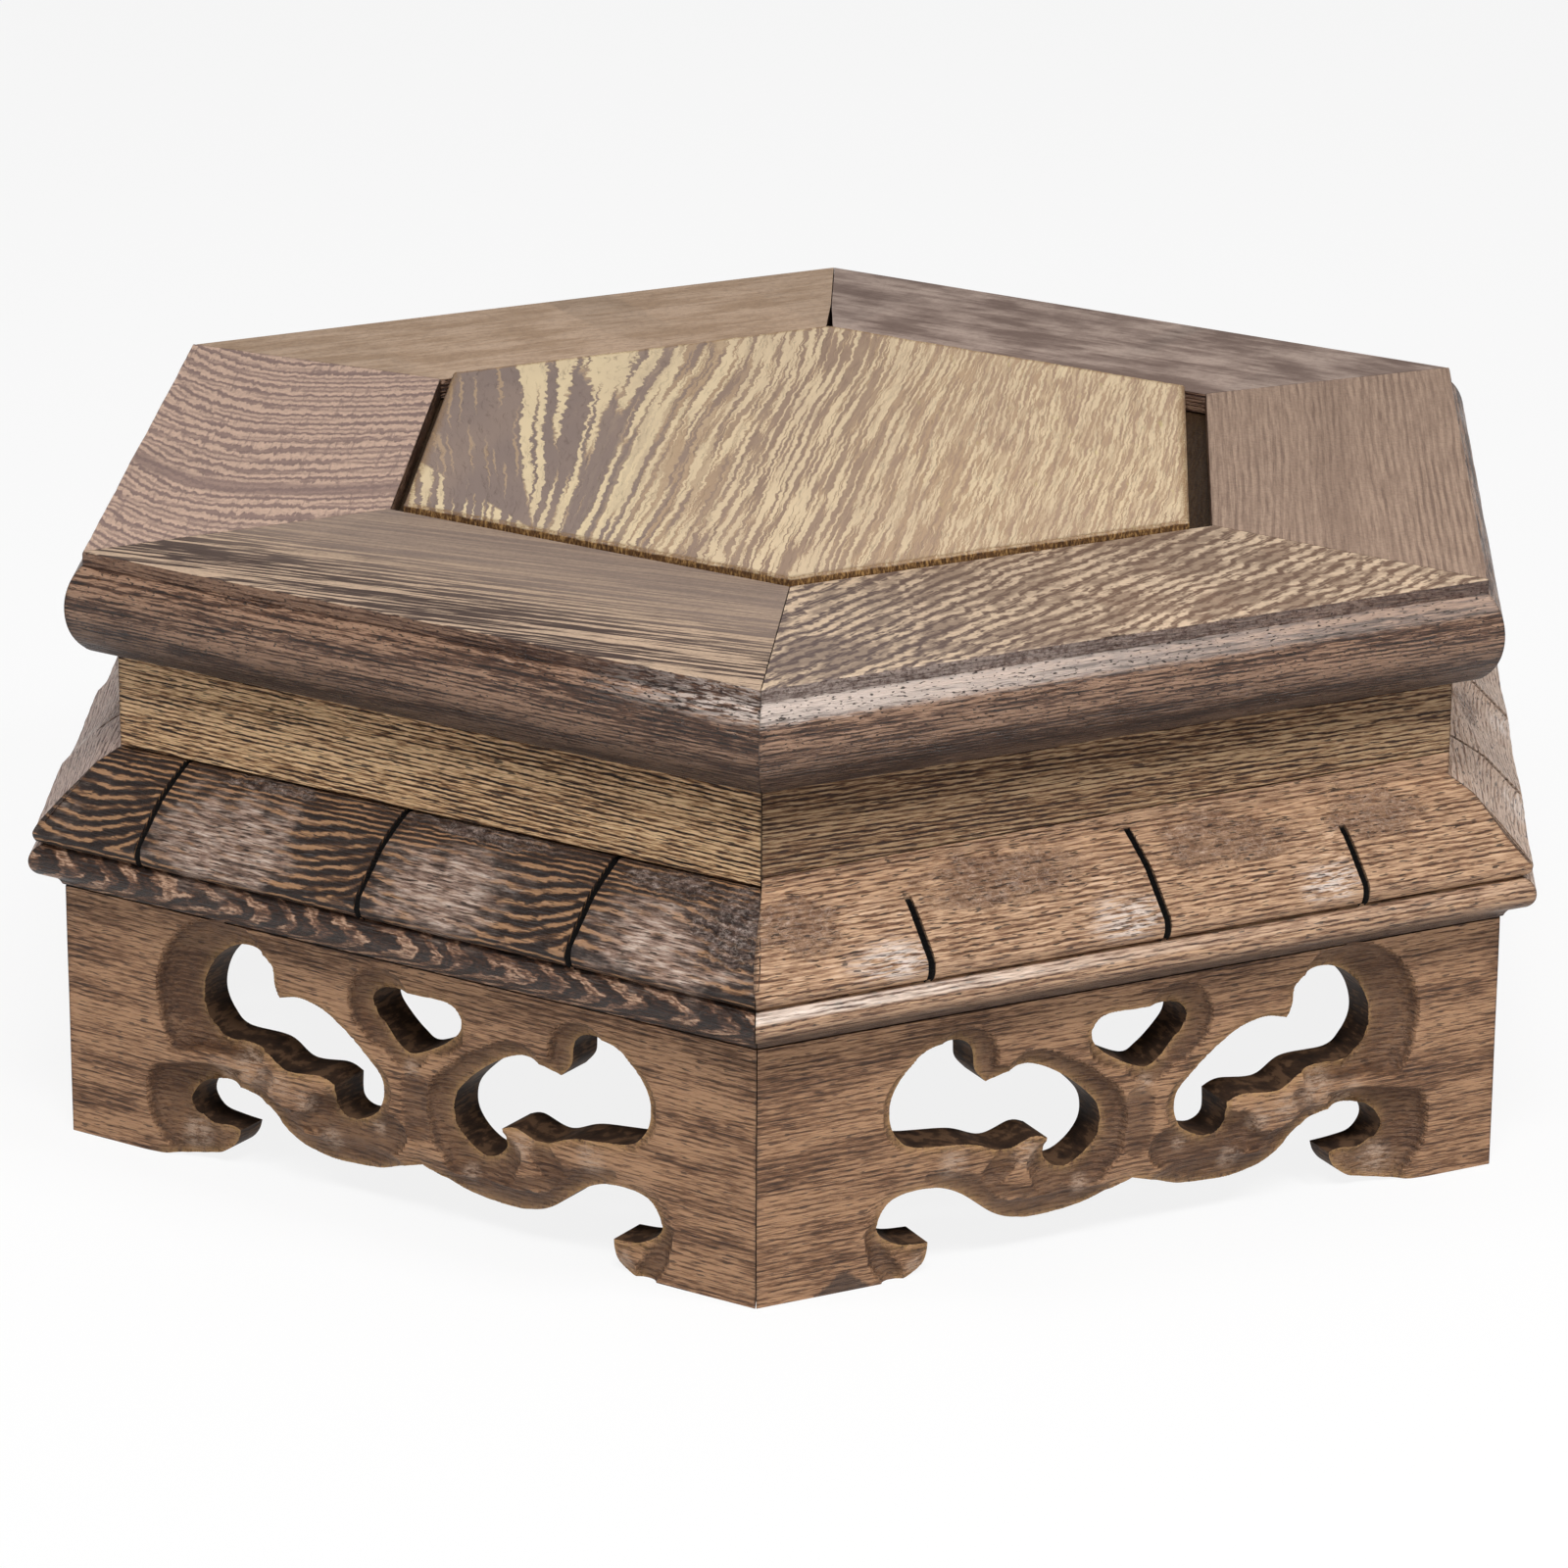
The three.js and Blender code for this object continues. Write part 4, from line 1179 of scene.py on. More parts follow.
def scoop(shape, side):
    seed = side["seed"]
    for corner in shape.verts:
        x, y, z = corner.co
        if x < SLOPE_TOP[0] or z < QUIRK[1] + 0.1 or z > SHOULDER_TOP - 0.01:
            continue
        start, end = petal_of(y, side["notches"])
        share = (y - start) / (end - start)
        from_start = Vector((x, 0, z)) - SCOOP_START
        run = from_start.dot(SCOOP_DOWN) / SCOOP_RUN
        deeper = SCOOP_TOP_SHARE + (1 - SCOOP_TOP_SHARE) * run
        level = SCOOP_LIFT - SCOOP_DEPTH * hollow(share) * deeper
        wave = SCOOP_WAVE * wander(0, y, 0, 6, seed)
        wave += SMALL_WAVE * wander(x, y, z, 2.2, seed)
        level += wave
        over = from_start.dot(SCOOP_OUT) - level
        if over > 0:
            corner.co -= over * SCOOP_OUT


print("a petal is", SCOOP_DEPTH, "mm hollow at most")

# %% The shoulder: saw cuts
NOTCH_WIDTH = 1.0
NOTCH_WALL = 0.12
NOTCH_FLOOR_TOP = Vector((81.7, 0, 46.9))
NOTCH_FLOOR_FOOT = Vector((90.1, 0, 38.7))
NOTCH_RUN = 11.7
FLOOR_DOWN = (NOTCH_FLOOR_FOOT - NOTCH_FLOOR_TOP).normalized()
FLOOR_OUT = Vector((-FLOOR_DOWN.z, 0, FLOOR_DOWN.x))

# Where a shallow saw cut begins and how soon it has its full depth, both as a share of the way
# down the slope
SHALLOW_CUTS = {("front_right", -30): 0.20, ("front_right", 29.2): 0.22,
                ("right", 31): 0.3, ("back_left", -31): 0.3}
CUT_RUN_IN = 0.16


def divide_at(shape, y):
    bmesh.ops.bisect_plane(shape, geom=everything(shape), dist=1e-5,
                           plane_co=(0, y, 0), plane_no=(0, 1, 0))


def saw_cuts(shape, side):
    half = NOTCH_WIDTH / 2
    kerf = shape.verts.layers.float.new("kerf")
    for place in side["notches"]:
        for offset in (-half, NOTCH_WALL - half, half - NOTCH_WALL, half):
            divide_at(shape, place + offset)
        opens = SHALLOW_CUTS.get((side["name"], place), 0.0)
        for corner in shape.verts:
            x, y, z = corner.co
            if abs(y - place) > half - NOTCH_WALL + 1e-3 or z > SHOULDER_TOP + 0.01:
                continue
            if x < NOTCH_FLOOR_TOP.x - 0.01 or z < NOTCH_FLOOR_FOOT.z:
                continue
            from_top = Vector((x, 0, z)) - NOTCH_FLOOR_TOP
            over = from_top.dot(FLOOR_OUT)
            if over <= 0:
                continue
            run = from_top.dot(FLOOR_DOWN) / NOTCH_RUN
            full = ease(run, opens, opens + CUT_RUN_IN) if opens else 1.0
            corner.co -= over * full * FLOOR_OUT
            corner[kerf] = full


print("saw cuts are", NOTCH_WIDTH, "mm wide")

# %% [markdown]
# The wood is torn where the plane ran against the grain: in patches high on the slope, and at
# the front corner. Pale patches show where each scoop faces the light: scratched wood with a
# painted sheen on the dark banded side, and a painted highlight on the other sides. Both are
# kept as numbers on the mesh's corners, so the finish can show them, and the torn places also
# get a rough surface.

# %% The shoulder: torn and worn patches
# Middle along the side and up, and how far the torn patch reaches along and up
TORN = {
    "front_right": [(-17, 47.2, 13, 2.4), (13.5, 47.2, 12, 2.2), (-45, 45.8, 7, 2.4),
                    (34.5, 47.4, 8.5, 1.9)],
    "front_left": [(47, 45.8, 8, 3.0), (8, 48.9, 14, 0.6), (-22, 48.9, 10, 0.5),
                   (36, 48.4, 8, 0.9)],
    "right": [(-12, 46.5, 9, 1.3)],
    "back_right": [(-20, 47, 9, 1.4), (14, 46, 6, 1.6)],
    "back_left": [(4, 46.8, 10, 1.5), (38, 46, 6, 1.8)],
    "left": [(-14, 47, 9, 1.5), (24, 46.4, 8, 1.5)],
}
SPREAD_UP = 1.4
TORN_DEPTH = 0.40

# Where a petal gets its pale patch of wear and painted sheen: the share across it and its
# spread, the height and its spread. The first petal of the banded side gets little of it.
WEAR_AND_SHEEN_ON_DARK = (0.34, 0.36, 43.4, 6.5)
WEAR_AND_SHEEN_ON_LIGHT = (0.86, 0.17, 41.6, 2.3)
LITTLE_WEAR_AND_SHEEN = 0.35


def mark_patches(shape, side):
    torn = shape.verts.layers.float.new("torn")
    wear_and_sheen = shape.verts.layers.float.new("wear_and_sheen")
    seed = side["seed"]
    banded = SHOULDER_LOOKS[side["name"]][0]
    for corner in shape.verts:
        x, y, z = corner.co
        if x < SLOPE_TOP[0] - 0.5:
            continue
        amount = 0.0
        for middle_y, middle_z, reach_y, reach_z in TORN[side["name"]]:
            spread = math.hypot((y - middle_y) / reach_y, (z - middle_z) / (SPREAD_UP * reach_z))
            spread += 0.35 * wander(x, y, z, 3, seed)
            amount = max(amount, 1 - ease(spread, 0.45, 1.25))
        start, end = petal_of(y, side["notches"])
        share = (y - start) / (end - start)
        place, spread_y, height, spread_z = WEAR_AND_SHEEN_ON_DARK if banded else WEAR_AND_SHEEN_ON_LIGHT
        off_middle = math.hypot((share - place) / spread_y, (z - height) / spread_z)
        pale = 1 - ease(off_middle + 0.30 * wander(x, y, z, 3.5, seed + 5), 0.3, 1.2)
        if banded and start < side["notches"][0]:
            pale *= LITTLE_WEAR_AND_SHEEN
        corner[torn] = amount
        corner[wear_and_sheen] = pale * (1 - amount)
        rough = abs(wander(x, y, z, 0.9, seed)) + 0.5 * abs(wander(x, y, z, 0.45, seed + 2))
        corner.co -= TORN_DEPTH * amount * rough * SCOOP_OUT


print("torn patches:", sum(len(patches) for patches in TORN.values()))


# %% The shoulder: six of them
# How high a strip stands before its slanted cut
STRIP_BLANK = 4.0


def shoulder_moulding(side):
    strip = STRIP_BLANK if side["name"] in STRIPS else 0.0
    shape = bar(shoulder_section(strip), SHOULDER_HALF, SHOULDER_PITCH)
    if strip:
        place, upwards = slant(side, 0.0)
        saw(shape, place, upwards)
    mitre(shape, RING_GAP)
    scoop(shape, side)
    saw_cuts(shape, side)
    mark_patches(shape, side)
    finish_side(shape, side, "shoulder", "shoulder_moulding",
                [side["shoulder_finish"]], crease=40)


for side in SIDES:
    shoulder_moulding(side)

# %% [markdown]
# ## The carved boards
#
# Each board was pierced with a fretsaw and then modelled with gouges: the scroll, the heart
# and the bean are holes, and beside them the carver cut long hollows that end on the hole's
# rim. A flat sheet with the holes is filled first and divided into a fine grid, so that there
# is something to carve. Then every corner of the grid is set back by the depth of the carving
# there, the rims are extruded to the board's back, and the back is filled. It is carved once
# and used for all sides: turned over on every other side, and slipped a little each time.

# %% The carved boards: outlines
SCROLL_SLOT = [
    [(-19.4, 24.3), (-16.4, 24.9), (-13, 24.2), (-10, 22.5), (-6.8, 20), (-4.5, 17.4), (-4, 15),
     (-4.9, 12.7), (-7, 11.2), (-9.4, 10.6), (-11.2, 11.7), (-11.3, 14.7)],
    [(-11.3, 14.7), (-13.5, 15.4), (-18.5, 15), (-22.3, 16.9), (-28.5, 17.1), (-30.7, 18.7),
     (-31.9, 21), (-31.8, 23.5), (-30.6, 26.2), (-28.2, 28.5), (-25.3, 29.7), (-22.3, 29.5),
     (-20.5, 28.1), (-20.1, 25.8), (-19.4, 24.3)],
]
HEART = [
    [(21.6, 22.8), (17.3, 24.2), (14.4, 23.7), (11.3, 22), (8.6, 19.9), (6.4, 17.5),
     (5.8, 15.4), (6.2, 13.4), (7.8, 11.5), (10, 10.3), (12.2, 10.5), (13.7, 12.2),
     (13.5, 14.5)],
    [(13.5, 14.5), (15.5, 15), (19.5, 14), (24, 15.5), (31.3, 16.4), (33.6, 17.8),
     (34.7, 20.2), (34.5, 23), (33, 25.7), (30.3, 28.2), (27.3, 28.9), (24.8, 28.6),
     (23.4, 27), (23.1, 24.6), (21.6, 22.8)],
]
BEAN = [
    [(1, 28.9), (5.7, 28.9), (7.5, 27.6), (7.6, 26.2), (6.5, 24.6), (4.2, 22.9), (0.3, 21.2),
     (-1.8, 22.1), (-4, 24), (-5.4, 25.8), (-5.4, 27.5), (-3.7, 28.8), (1, 28.9)],
]
LOWER_EDGE = [
    [(33.5, 0), (31.2, 0.4), (29.8, 1.6), (29.3, 3.8)],
    [(29.3, 3.8), (33, 4.2), (35.6, 5.7), (36, 7.6), (34.9, 9.6), (32.4, 10.6), (28.5, 10.6),
     (24.8, 9.1), (20.5, 5.9), (17.5, 4.6), (13.7, 4.2), (8.5, 4.7), (4.3, 6.2), (1.35, 7)],
    [(1.35, 7), (-1.5, 6.2), (-5.5, 4.8), (-10.5, 4.4), (-14, 4.6), (-17.2, 5.6), (-20.5, 8),
     (-23.5, 10.2), (-27.5, 11.3), (-31.2, 10.8), (-33.4, 9.2), (-34, 7.3), (-32.6, 5.5),
     (-30, 5), (-27, 4.8)],
    [(-27, 4.8), (-27.5, 3.4), (-28.8, 2), (-31.2, 1), (-38, 0)],
]
OUTLINE_STEP = 0.4
APRON_HALF = 57


def through(knots):
    """Points a small step apart on a smooth curve through the knots, without its last knot."""
    points = []
    last = len(knots) - 1
    for i in range(last):
        before, here = Vector(knots[max(i - 1, 0)]), Vector(knots[i])
        there, after = Vector(knots[i + 1]), Vector(knots[min(i + 2, last)])
        steps = max(1, round((there - here).length / OUTLINE_STEP))
        for j in range(steps):
            t = j / steps
            leave, arrive = (there - before) / 2, (after - here) / 2
            points.append(
                here * (2 * t**3 - 3 * t**2 + 1) + leave * (t**3 - 2 * t**2 + t)
                + there * (3 * t**2 - 2 * t**3) + arrive * (t**3 - t**2)
            )
    return points


def loop_of(curves):
    return [point for curve in curves for point in through(curve)]


HOLES = [loop_of(curves) for curves in (SCROLL_SLOT, HEART, BEAN)]
EDGE = loop_of(LOWER_EDGE) + [Vector(LOWER_EDGE[-1][-1])]
print("outline points:", [len(hole) for hole in HOLES], len(EDGE))

# %% [markdown]
# The hollows along a rim are given as marks: a place, how wide and how deep the hollow is
# there, and how far along the rim it reaches. A hollow meets the face at a crisp line, is
# deepest halfway to the rim and gets shallower again at the rim. Strokes are gouge cuts across
# the face, away from a rim. The polished spots on the high places are glossier and carry a
# painted highlight.

# %% The carved boards: the carver's marks
# place along and up, width, depth, reach
RIM_MARKS = [
    (-31.9, 22.0, 6.0, 2.1, 10.0),
    (-31.2, 18.4, 6.6, 1.9, 4.5),
    (-28.0, 28.6, 3.0, 1.5, 5.5),
    (-34.0, 7.4, 6.0, 2.1, 7.5),
    (-31.4, 10.8, 3.0, 1.3, 4.5),
    (-5.4, 26.4, 3.2, 1.2, 5.0),
    (-1.0, 21.8, 2.0, 0.7, 3.5),
    (5.9, 15.2, 3.2, 1.5, 6.5),
    (9.0, 20.2, 2.5, 1.4, 6.0),
    (13.6, 23.4, 2.2, 1.2, 5.0),
    (7.4, 11.9, 3.8, 1.2, 4.0),
    (23.2, 25.6, 2.8, 1.3, 4.5),
    (24.4, 28.4, 1.7, 1.0, 3.2),
    (-10.5, 4.4, 3.2, 1.6, 9.0),
    (13.7, 4.2, 3.0, 1.5, 9.5),
    (23.5, 8.2, 2.2, 1.0, 5.5),
    (-21.5, 9.0, 2.0, 1.0, 5.0),
    (-7.5, 11.0, 2.4, 0.9, 3.5),
    (11.5, 10.3, 2.2, 0.8, 3.0),
    (-4.2, 15.5, 1.3, 0.5, 4.0),
    (34.6, 21.5, 1.1, 0.5, 6.0),
]
# path, radius, depth
STROKES = [
    ([(-13.0, 10.8), (-11.2, 8.3), (-6.5, 8.0), (-3.0, 10.2)], 2.5, 1.1),
    ([(-21.0, 9.3), (-17.6, 8.5), (-14.3, 9.4), (-12.7, 12.0)], 1.3, 0.9),
    ([(-23.2, 11.2), (-21.6, 13.6)], 1.3, 0.45),
    ([(7.0, 9.4), (10.8, 8.2), (13.6, 9.2), (14.4, 11.6)], 1.9, 0.9),
    ([(14.0, 7.6), (19.7, 8.9), (22.0, 10.4), (25.9, 11.6), (29.3, 12.1)], 0.9, 0.4),
    ([(19.3, 12.6), (20.8, 11.2)], 1.7, 0.6),
    ([(36.6, 6.0), (36.0, 3.0), (34.4, 0.8)], 1.5, 0.9),
    ([(-33.2, 4.6), (-31.5, 2.4)], 1.6, 0.7),
    ([(-28.4, 4.6), (-27.6, 2.4)], 1.4, 1.2),
    ([(1.2, 12.0), (1.0, 17.0)], 2.2, 0.35),
]
# Lines that the carver left standing between two hollows
RIDGES = [
    [(-41.0, 12.3), (-37.0, 12.9), (-32.4, 14.0), (-28.2, 14.4), (-23.0, 14.2)],
]
RIDGE_HALF = (0.5, 1.7)
# place along and up, radius
POLISH_AND_HIGHLIGHT_SPOTS = [
    (-24.0, 14.2, 3.4), (-28.5, 13.0, 2.6), (-19.6, 12.6, 2.6), (-12.2, 7.2, 2.0),
    (-5.1, 10.3, 1.3), (16.4, 13.0, 2.4), (26.5, 13.6, 2.6), (8.8, 7.6, 1.7),
    (31.2, 1.8, 1.7), (-33.5, 3.2, 3.0), (0.4, 19.3, 1.6), (-15.8, 11.8, 2.2),
]
print(len(RIM_MARKS), "marks,", len(STROKES), "strokes,", len(POLISH_AND_HIGHLIGHT_SPOTS), "rubbed spots")


# %% The carved boards: points along the rims
def rim_points():
    """Every point of every rim, with the direction into the wood there."""
    places, inwards, soft = [], [], []
    for number, loop in enumerate([*HOLES, EDGE]):
        closed = number < len(HOLES)
        points = np.array([tuple(p) for p in loop])
        if closed:
            ahead = np.roll(points, -1, 0) - np.roll(points, 1, 0)
            area = np.sum(points[:, 0] * np.roll(points[:, 1], -1)
                          - points[:, 1] * np.roll(points[:, 0], -1))
            sense = 1 if area > 0 else -1
        else:
            ahead = np.gradient(points, axis=0)
            sense = 1
        ahead /= np.linalg.norm(ahead, axis=1, keepdims=True)
        places.append(points)
        inwards.append(sense * np.stack([ahead[:, 1], -ahead[:, 0]], 1))
        soft.append(np.full(len(points), 0.0 if closed else 1.0))
    return np.concatenate(places), np.concatenate(inwards), np.concatenate(soft)


RIM_PLACES, RIM_INWARDS, RIM_SOFT = rim_points()
print(len(RIM_PLACES), "rim points")

# %% [markdown]
# The carving's depth is worked out for every corner of the sheet at once. Each point of a rim
# has its own hollow and its own rounding, and the deepest one at a corner counts. A hollow's
# profile is steep at its outer edge, because a small power of a round profile is nearly a
# step. Ridges are left standing, and strokes are cut on top.

# %% The carved boards: how deep the carving is
# How wide and deep a rim is rounded, and how soon that fades, at a hole and at the lower edge
ROUNDING = (1.2, 0.42, 2.0)
EDGE_ROUNDING = (2.6, 0.85, 1.2)
FLOOR_HEIGHT = 0.3
FLOOR_ROUNDING = 0.25
# A hollow's outer edge, its deepest place and how much of its depth is left at the rim
CRISPNESS = 0.38
TROUGH_PLACE = 0.5
RIM_SHARE = 0.33
# How far behind a rim a corner may lie and still belong to it
BEHIND_SLOPE = 0.15
BEHIND = 0.02
RIM_BAND = 0.45
CROSSING_SHARE = 0.3
ROUNDED_HOLLOW = 0.5


def rim_hollows():
    """How wide and how deep the hollow is at each point of the rims."""
    width = np.full(len(RIM_PLACES), 0.01)
    depth = np.zeros(len(RIM_PLACES))
    for y, z, wide, deep, reach in RIM_MARKS:
        away = np.hypot(RIM_PLACES[:, 0] - y, RIM_PLACES[:, 1] - z) / reach
        share = np.clip(1 - away**2, 0, 1)
        width = np.maximum(width, wide * np.sqrt(share))
        depth = np.maximum(depth, deep * np.sqrt(share))
    on_floor = RIM_PLACES[:, 1] < FLOOR_HEIGHT
    return np.where(on_floor, 0.01, width), np.where(on_floor, 0.0, depth)


def distance_to_path(points, path):
    best = np.full(len(points), np.inf)
    for start, end in zip(path, path[1:]):
        a, b = np.array(start), np.array(end)
        t = np.clip((points - a) @ (b - a) / ((b - a) @ (b - a)), 0, 1)
        best = np.minimum(best, np.linalg.norm(points - a - t[:, None] * (b - a), axis=1))
    return best


def carve(points):
    """For each place on the face: how deep its hollow is, how deep the carving is with the
    rims' rounding, and how near a rim the place is."""
    width, depth = rim_hollows()
    round_width, round_depth, fade = (
        hole + (edge - hole) * RIM_SOFT for hole, edge in zip(ROUNDING, EDGE_ROUNDING)
    )
    round_depth = np.where(RIM_PLACES[:, 1] < FLOOR_HEIGHT, FLOOR_ROUNDING, round_depth)
    hollows = np.zeros(len(points))
    rounding = np.zeros(len(points))
    nearness = np.zeros(len(points))
    for chunk in range(0, len(points), 2000):
        part = slice(chunk, chunk + 2000)
        away = points[part, None, :] - RIM_PLACES[None]
        distance = np.linalg.norm(away, axis=2)
        forward = np.einsum("pri,ri->pr", away, RIM_INWARDS)
        facing = forward > -BEHIND_SLOPE * distance - BEHIND
        inwards = distance / width
        share = np.clip(1 - inwards ** 2, 0, 1) ** CRISPNESS * facing
        trough = RIM_SHARE + (1 - RIM_SHARE) * np.clip(inwards / TROUGH_PLACE, 0, 1)
        hollows[part] = (share * depth * trough).max(1)
        share = np.clip(1 - distance / round_width, 0, 1) ** fade * facing
        rounding[part] = (share * round_depth).max(1)
        nearness[part] = np.exp(-distance.min(1) / RIM_BAND)
    for path in RIDGES:
        away = (distance_to_path(points, path) - RIDGE_HALF[0]) / (RIDGE_HALF[1] - RIDGE_HALF[0])
        away = np.clip(away, 0, 1)
        hollows *= away * away * (3 - 2 * away)
    for path, radius, deep in STROKES:
        share = np.clip(1 - (distance_to_path(points, path) / radius) ** 2, 0, 1) ** CRISPNESS
        cut = deep * share
        hollows = np.maximum(hollows, cut) + CROSSING_SHARE * np.minimum(hollows, cut)
    return hollows, np.maximum(hollows + ROUNDED_HOLLOW * rounding, rounding), nearness


print("deepest rim hollow:", max(mark[3] for mark in RIM_MARKS), "mm")

# %% The carved boards: the sheet and its grid
GRID = 0.38
LEG_GRID = 2.0
CARVED_FROM = -42
CARVED_TO = 40
# The grid lines are set off a little, so that none runs through a point of the outline
OFF_ALONG = 0.013
OFF_UP = 0.011
# The gouge's marks and the sheet's swell are this high, and the face lies this far back
GOUGE_MARK = 0.10
SMALL_MARK = 0.06
SWELL = 0.06
FACE_BACK = 0.06
FULLY_WORKED = 0.6


def filled_sheet():
    shape = bmesh.new()
    outer = [Vector((APRON_HALF, APRON_TOP)), Vector((APRON_HALF, 0)), *EDGE,
             Vector((-APRON_HALF, 0)), Vector((-APRON_HALF, APRON_TOP))]
    for loop in [outer, *HOLES]:
        corners = [shape.verts.new((APRON_OUTSIDE, y, z)) for y, z in loop]
        for here, there in zip(corners, corners[1:] + corners[:1]):
            shape.edges.new((here, there))
    bmesh.ops.triangle_fill(shape, edges=shape.edges[:], use_beauty=True, normal=(1, 0, 0))
    bmesh.ops.dissolve_limit(
        shape, angle_limit=math.radians(1), use_dissolve_boundaries=False,
        verts=shape.verts[:], edges=shape.edges[:],
    )
    return shape


def divide_sheet(shape):
    along = list(np.arange(-APRON_HALF + LEG_GRID, CARVED_FROM, LEG_GRID))
    along += list(np.arange(CARVED_FROM, CARVED_TO, GRID))
    along += list(np.arange(CARVED_TO, APRON_HALF, LEG_GRID))
    for y in along:
        bmesh.ops.bisect_plane(shape, geom=everything(shape), dist=1e-4,
                               plane_co=(0, y + OFF_ALONG, 0), plane_no=(0, 1, 0))
    for z in np.arange(GRID, APRON_TOP, GRID):
        bmesh.ops.bisect_plane(shape, geom=everything(shape), dist=1e-4,
                               plane_co=(0, 0, z + OFF_UP), plane_no=(0, 0, 1))


def carved_sheet():
    shape = filled_sheet()
    divide_sheet(shape)
    carved = shape.verts.layers.float.new("carved")
    polish_and_highlight = shape.verts.layers.float.new("polish_and_highlight")
    rim = shape.verts.layers.float.new("rim")
    places = np.array([(v.co.y, v.co.z) for v in shape.verts])
    hollows, depth, nearness = carve(places)
    for corner, deep, near in zip(shape.verts, depth, nearness):
        y, z = corner.co.y, corner.co.z
        tool = GOUGE_MARK * wander(0, y, z, 1.6, 5) + SMALL_MARK * wander(0, y, z, 0.8, 9)
        worked = min(1.0, deep / FULLY_WORKED)
        corner[rim] = float(near)
        corner[polish_and_highlight] = max(1 - ease(math.hypot(y - a, z - b) / r, 0.3, 1.0)
                             for a, b, r in POLISH_AND_HIGHLIGHT_SPOTS)
        swell = SWELL * wander(0, y, z, 14, 2)
        corner.co.x -= float(deep) + worked * tool + swell + FACE_BACK
    shape.normal_update()
    for corner, cut in zip(shape.verts, hollows):
        steep = ease(1 - abs(corner.normal.x), 0.04, 0.30)
        inside = ease(float(cut), 0.04, 0.35)
        corner[carved] = inside * (0.70 + 0.20 * steep) * (1 - 0.45 * corner[rim])
    rims = [edge for edge in shape.edges if edge.is_boundary]
    walls = bmesh.ops.extrude_edge_only(shape, edges=rims)
    for corner in corners_of(walls["geom"]):
        corner.co.x = APRON_OUTSIDE - APRON_THICKNESS
    for face in walls["geom"]:
        if isinstance(face, bmesh.types.BMFace):
            face.material_index = 1
            face.smooth = False
    back = [edge for edge in edges_of(walls["geom"]) if edge.is_boundary]
    bmesh.ops.triangle_fill(shape, edges=back, use_beauty=True, normal=(-1, 0, 0))
    return shape


CARVED_SHEET = carved_sheet()
print("carved sheet:", len(CARVED_SHEET.faces), "faces,",
      sum(1 for e in CARVED_SHEET.edges if not e.is_manifold), "open edges")


# %% The carved boards: six of them
def apron(side):
    shape = CARVED_SHEET.copy()
    if side["mirrored"]:
        bmesh.ops.scale(shape, vec=(1, -1, 1), verts=shape.verts)
        bmesh.ops.reverse_faces(shape, faces=shape.faces)
    bmesh.ops.translate(shape, vec=(0, side["slip"], 0), verts=shape.verts)
    mitre(shape, RING_GAP)
    finish_side(shape, side, "carved_apron", "apron",
                [side["apron_finish"], WALL_FINISH], crease=38)


for side in SIDES:
    apron(side)
CARVED_SHEET.free()

# %% [markdown]
# ## The hidden pieces
#
# The splines in the mitres, the screws and the glue blocks are right as the CAD has them. They
# keep their nodes and get finishes: a plain straight-grained wood, and brass that has dulled.

# %% The hidden pieces
def inner_finish():
    f = Finish("inner_wood")
    spot = f.place()
    lines = f.grain(spot, (1.2, 1.2, 0.5), seed=4, detail=3, rough=0.6)
    long_grain = f.grain(spot, (0.5, 0.5, 14), seed=8, detail=3)
    level = f.weigh(lines, 0.5, long_grain)
    colour = f.ramp(level, (0.55, "6d5236"), (0.75, "8d7150"), (0.95, "ab8f6a"))
    return f.done(colour, f.rise(level, 0.5, 1.0, 0.75, 0.6), f.bump(level, 0.1, 0.4))


def brass_finish():
    f = Finish("brass")
    spot = f.place()
    turning = f.grain(spot, (2, 2, 0.15), seed=3, detail=2)
    tarnish = f.grain(spot, (1.2, 1.2, 1.2), seed=9, detail=4, rough=0.65)
    colour = f.ramp(tarnish, (0.35, "6b5227"), (0.6, "b08d48"), (0.8, "c9a866"))
    roughness = f.rise(tarnish, 0.3, 0.7, 0.5, 0.28)
    return f.done(colour, roughness, f.bump(turning, 0.05, 0.3), Metallic=1.0)


INNER_FINISH = inner_finish()
BRASS_FINISH = brass_finish()
for name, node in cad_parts.items():
    if name.startswith(("mitre_spline_", "glue_block_")):
        node.data.materials.clear()
        node.data.materials.append(INNER_FINISH)
    elif name.startswith("wood_screw_"):
        node.data.materials.clear()
        node.data.materials.append(BRASS_FINISH)
print("hidden pieces finished")

# %% [markdown]
# ## Floor and light
#
# The photograph is cut out on white. A pale floor stands in for it: a part of its light is
# seen by the camera only, so it looks nearly white and still keeps the stand's soft shadow.
# The key lamp hangs in front and above. A broader, weaker one hangs overhead, a third stands in
# front, and two small ones, left and right, give the sheen on the frame's nose near the front
# corner.

# %% Floor and light
FLOOR_SIZE = 8.0
FLOOR_GLOW = 0.86
ROOM_LIGHT = 0.21


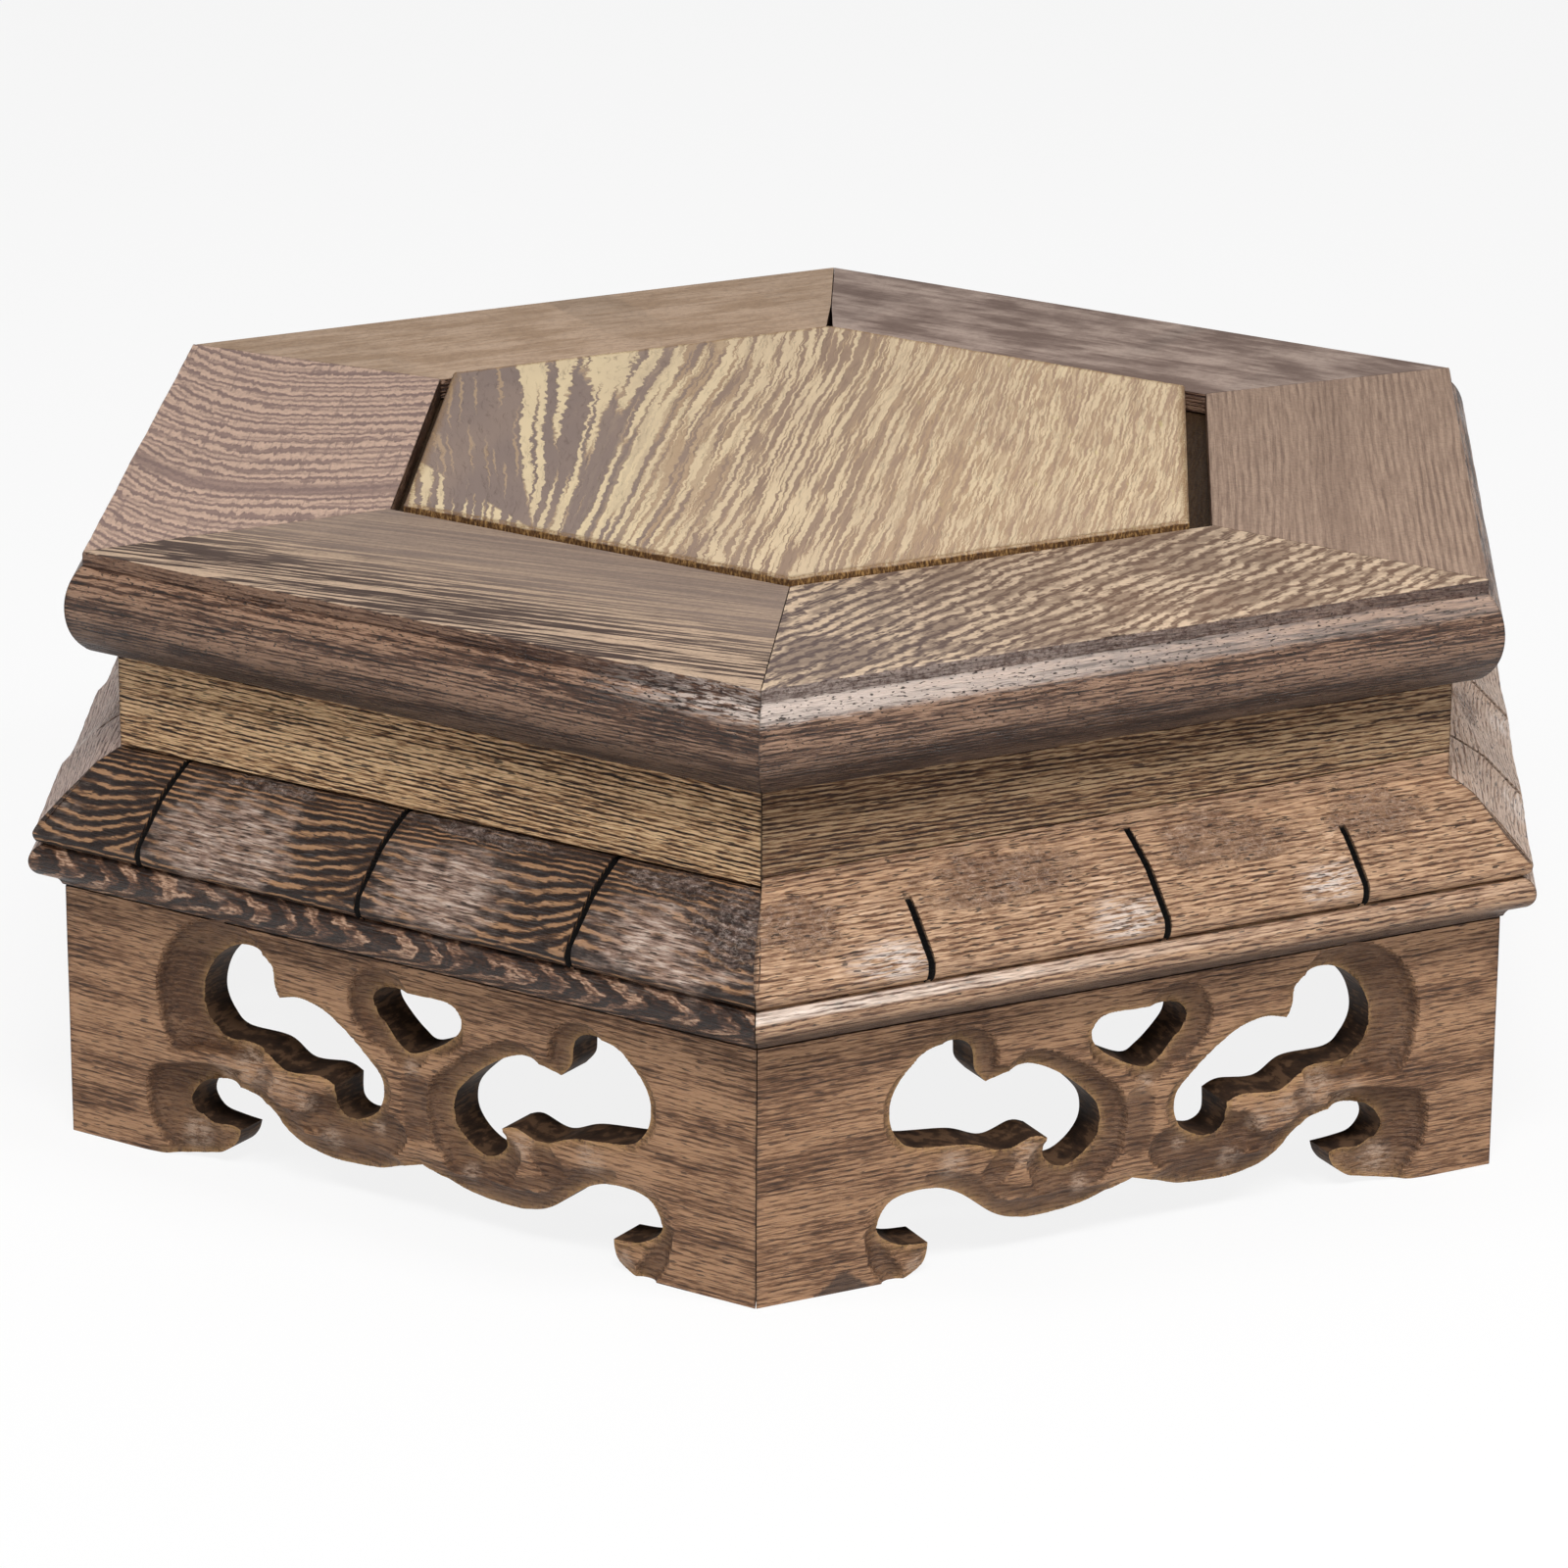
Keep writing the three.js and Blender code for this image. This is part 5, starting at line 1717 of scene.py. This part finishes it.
def floor_finish():
    f = Finish("floor")
    ray = f.nodes.new("ShaderNodeLightPath")
    seen = f.math("MAXIMUM", ray.outputs["Is Camera Ray"], ray.outputs["Is Glossy Ray"])
    share = f.times(seen, FLOOR_GLOW)
    glow = f.add("ShaderNodeEmission", {"Color": (1, 1, 1, 1), "Strength": 1.0})
    f.done("ececec", 0.9)
    mixed = f.add("ShaderNodeMixShader", {0: share, 1: f.shader.outputs[0], 2: glow})
    f.links.new(mixed, f.nodes["Material Output"].inputs["Surface"])
    return f.material


def floor():
    shape = bmesh.new()
    bmesh.ops.create_grid(shape, x_segments=2, y_segments=2, size=FLOOR_SIZE / 2)
    mesh = bpy.data.meshes.new("floor")
    shape.to_mesh(mesh)
    shape.free()
    mesh.materials.append(floor_finish())
    ground = bpy.data.objects.new("floor", mesh)
    bpy.context.scene.collection.objects.link(ground)


def lamp(name, place, target, width, depth, power):
    light = bpy.data.lights.new(name, "AREA")
    light.shape = "RECTANGLE"
    light.size = width
    light.size_y = depth
    light.energy = power
    holder = bpy.data.objects.new(name, light)
    aim = Vector(target) - Vector(place)
    turned = aim.to_track_quat("-Z", "Y").to_matrix().to_4x4()
    holder.matrix_world = Matrix.Translation(place) @ turned
    bpy.context.scene.collection.objects.link(holder)


floor()
FRONT_CORNER = (0, -0.098, 0.07)
lamp("key_lamp", (0.05, -0.62, 0.98), (0, 0, 0.05), 0.45, 0.32, 6.4)
lamp("overhead_lamp", (0, 0.1, 1.1), (0, 0, 0.05), 1.0, 0.8, 1.2)
lamp("front_lamp", (0.1, -1.5, 0.45), (0, 0, 0.04), 1.2, 0.7, 1.4)
lamp("right_lamp", (0.37, -0.225, 0.525), FRONT_CORNER, 0.14, 0.14, 1.5)
lamp("left_lamp", (-0.408, -0.197, 0.498), FRONT_CORNER, 0.14, 0.14, 0.8)

world = bpy.data.worlds.new("room")
bpy.context.scene.world = world
world.use_nodes = True
background = world.node_tree.nodes["Background"]
ray = world.node_tree.nodes.new("ShaderNodeLightPath")
level = world.node_tree.nodes.new("ShaderNodeMapRange")
level.inputs["To Min"].default_value = ROOM_LIGHT
level.inputs["To Max"].default_value = 1.0
world.node_tree.links.new(ray.outputs["Is Camera Ray"], level.inputs["Value"])
world.node_tree.links.new(level.outputs[0], background.inputs["Strength"])
background.inputs["Color"].default_value = (1, 1, 1, 1)
print("floor, five lamps and a pale room")
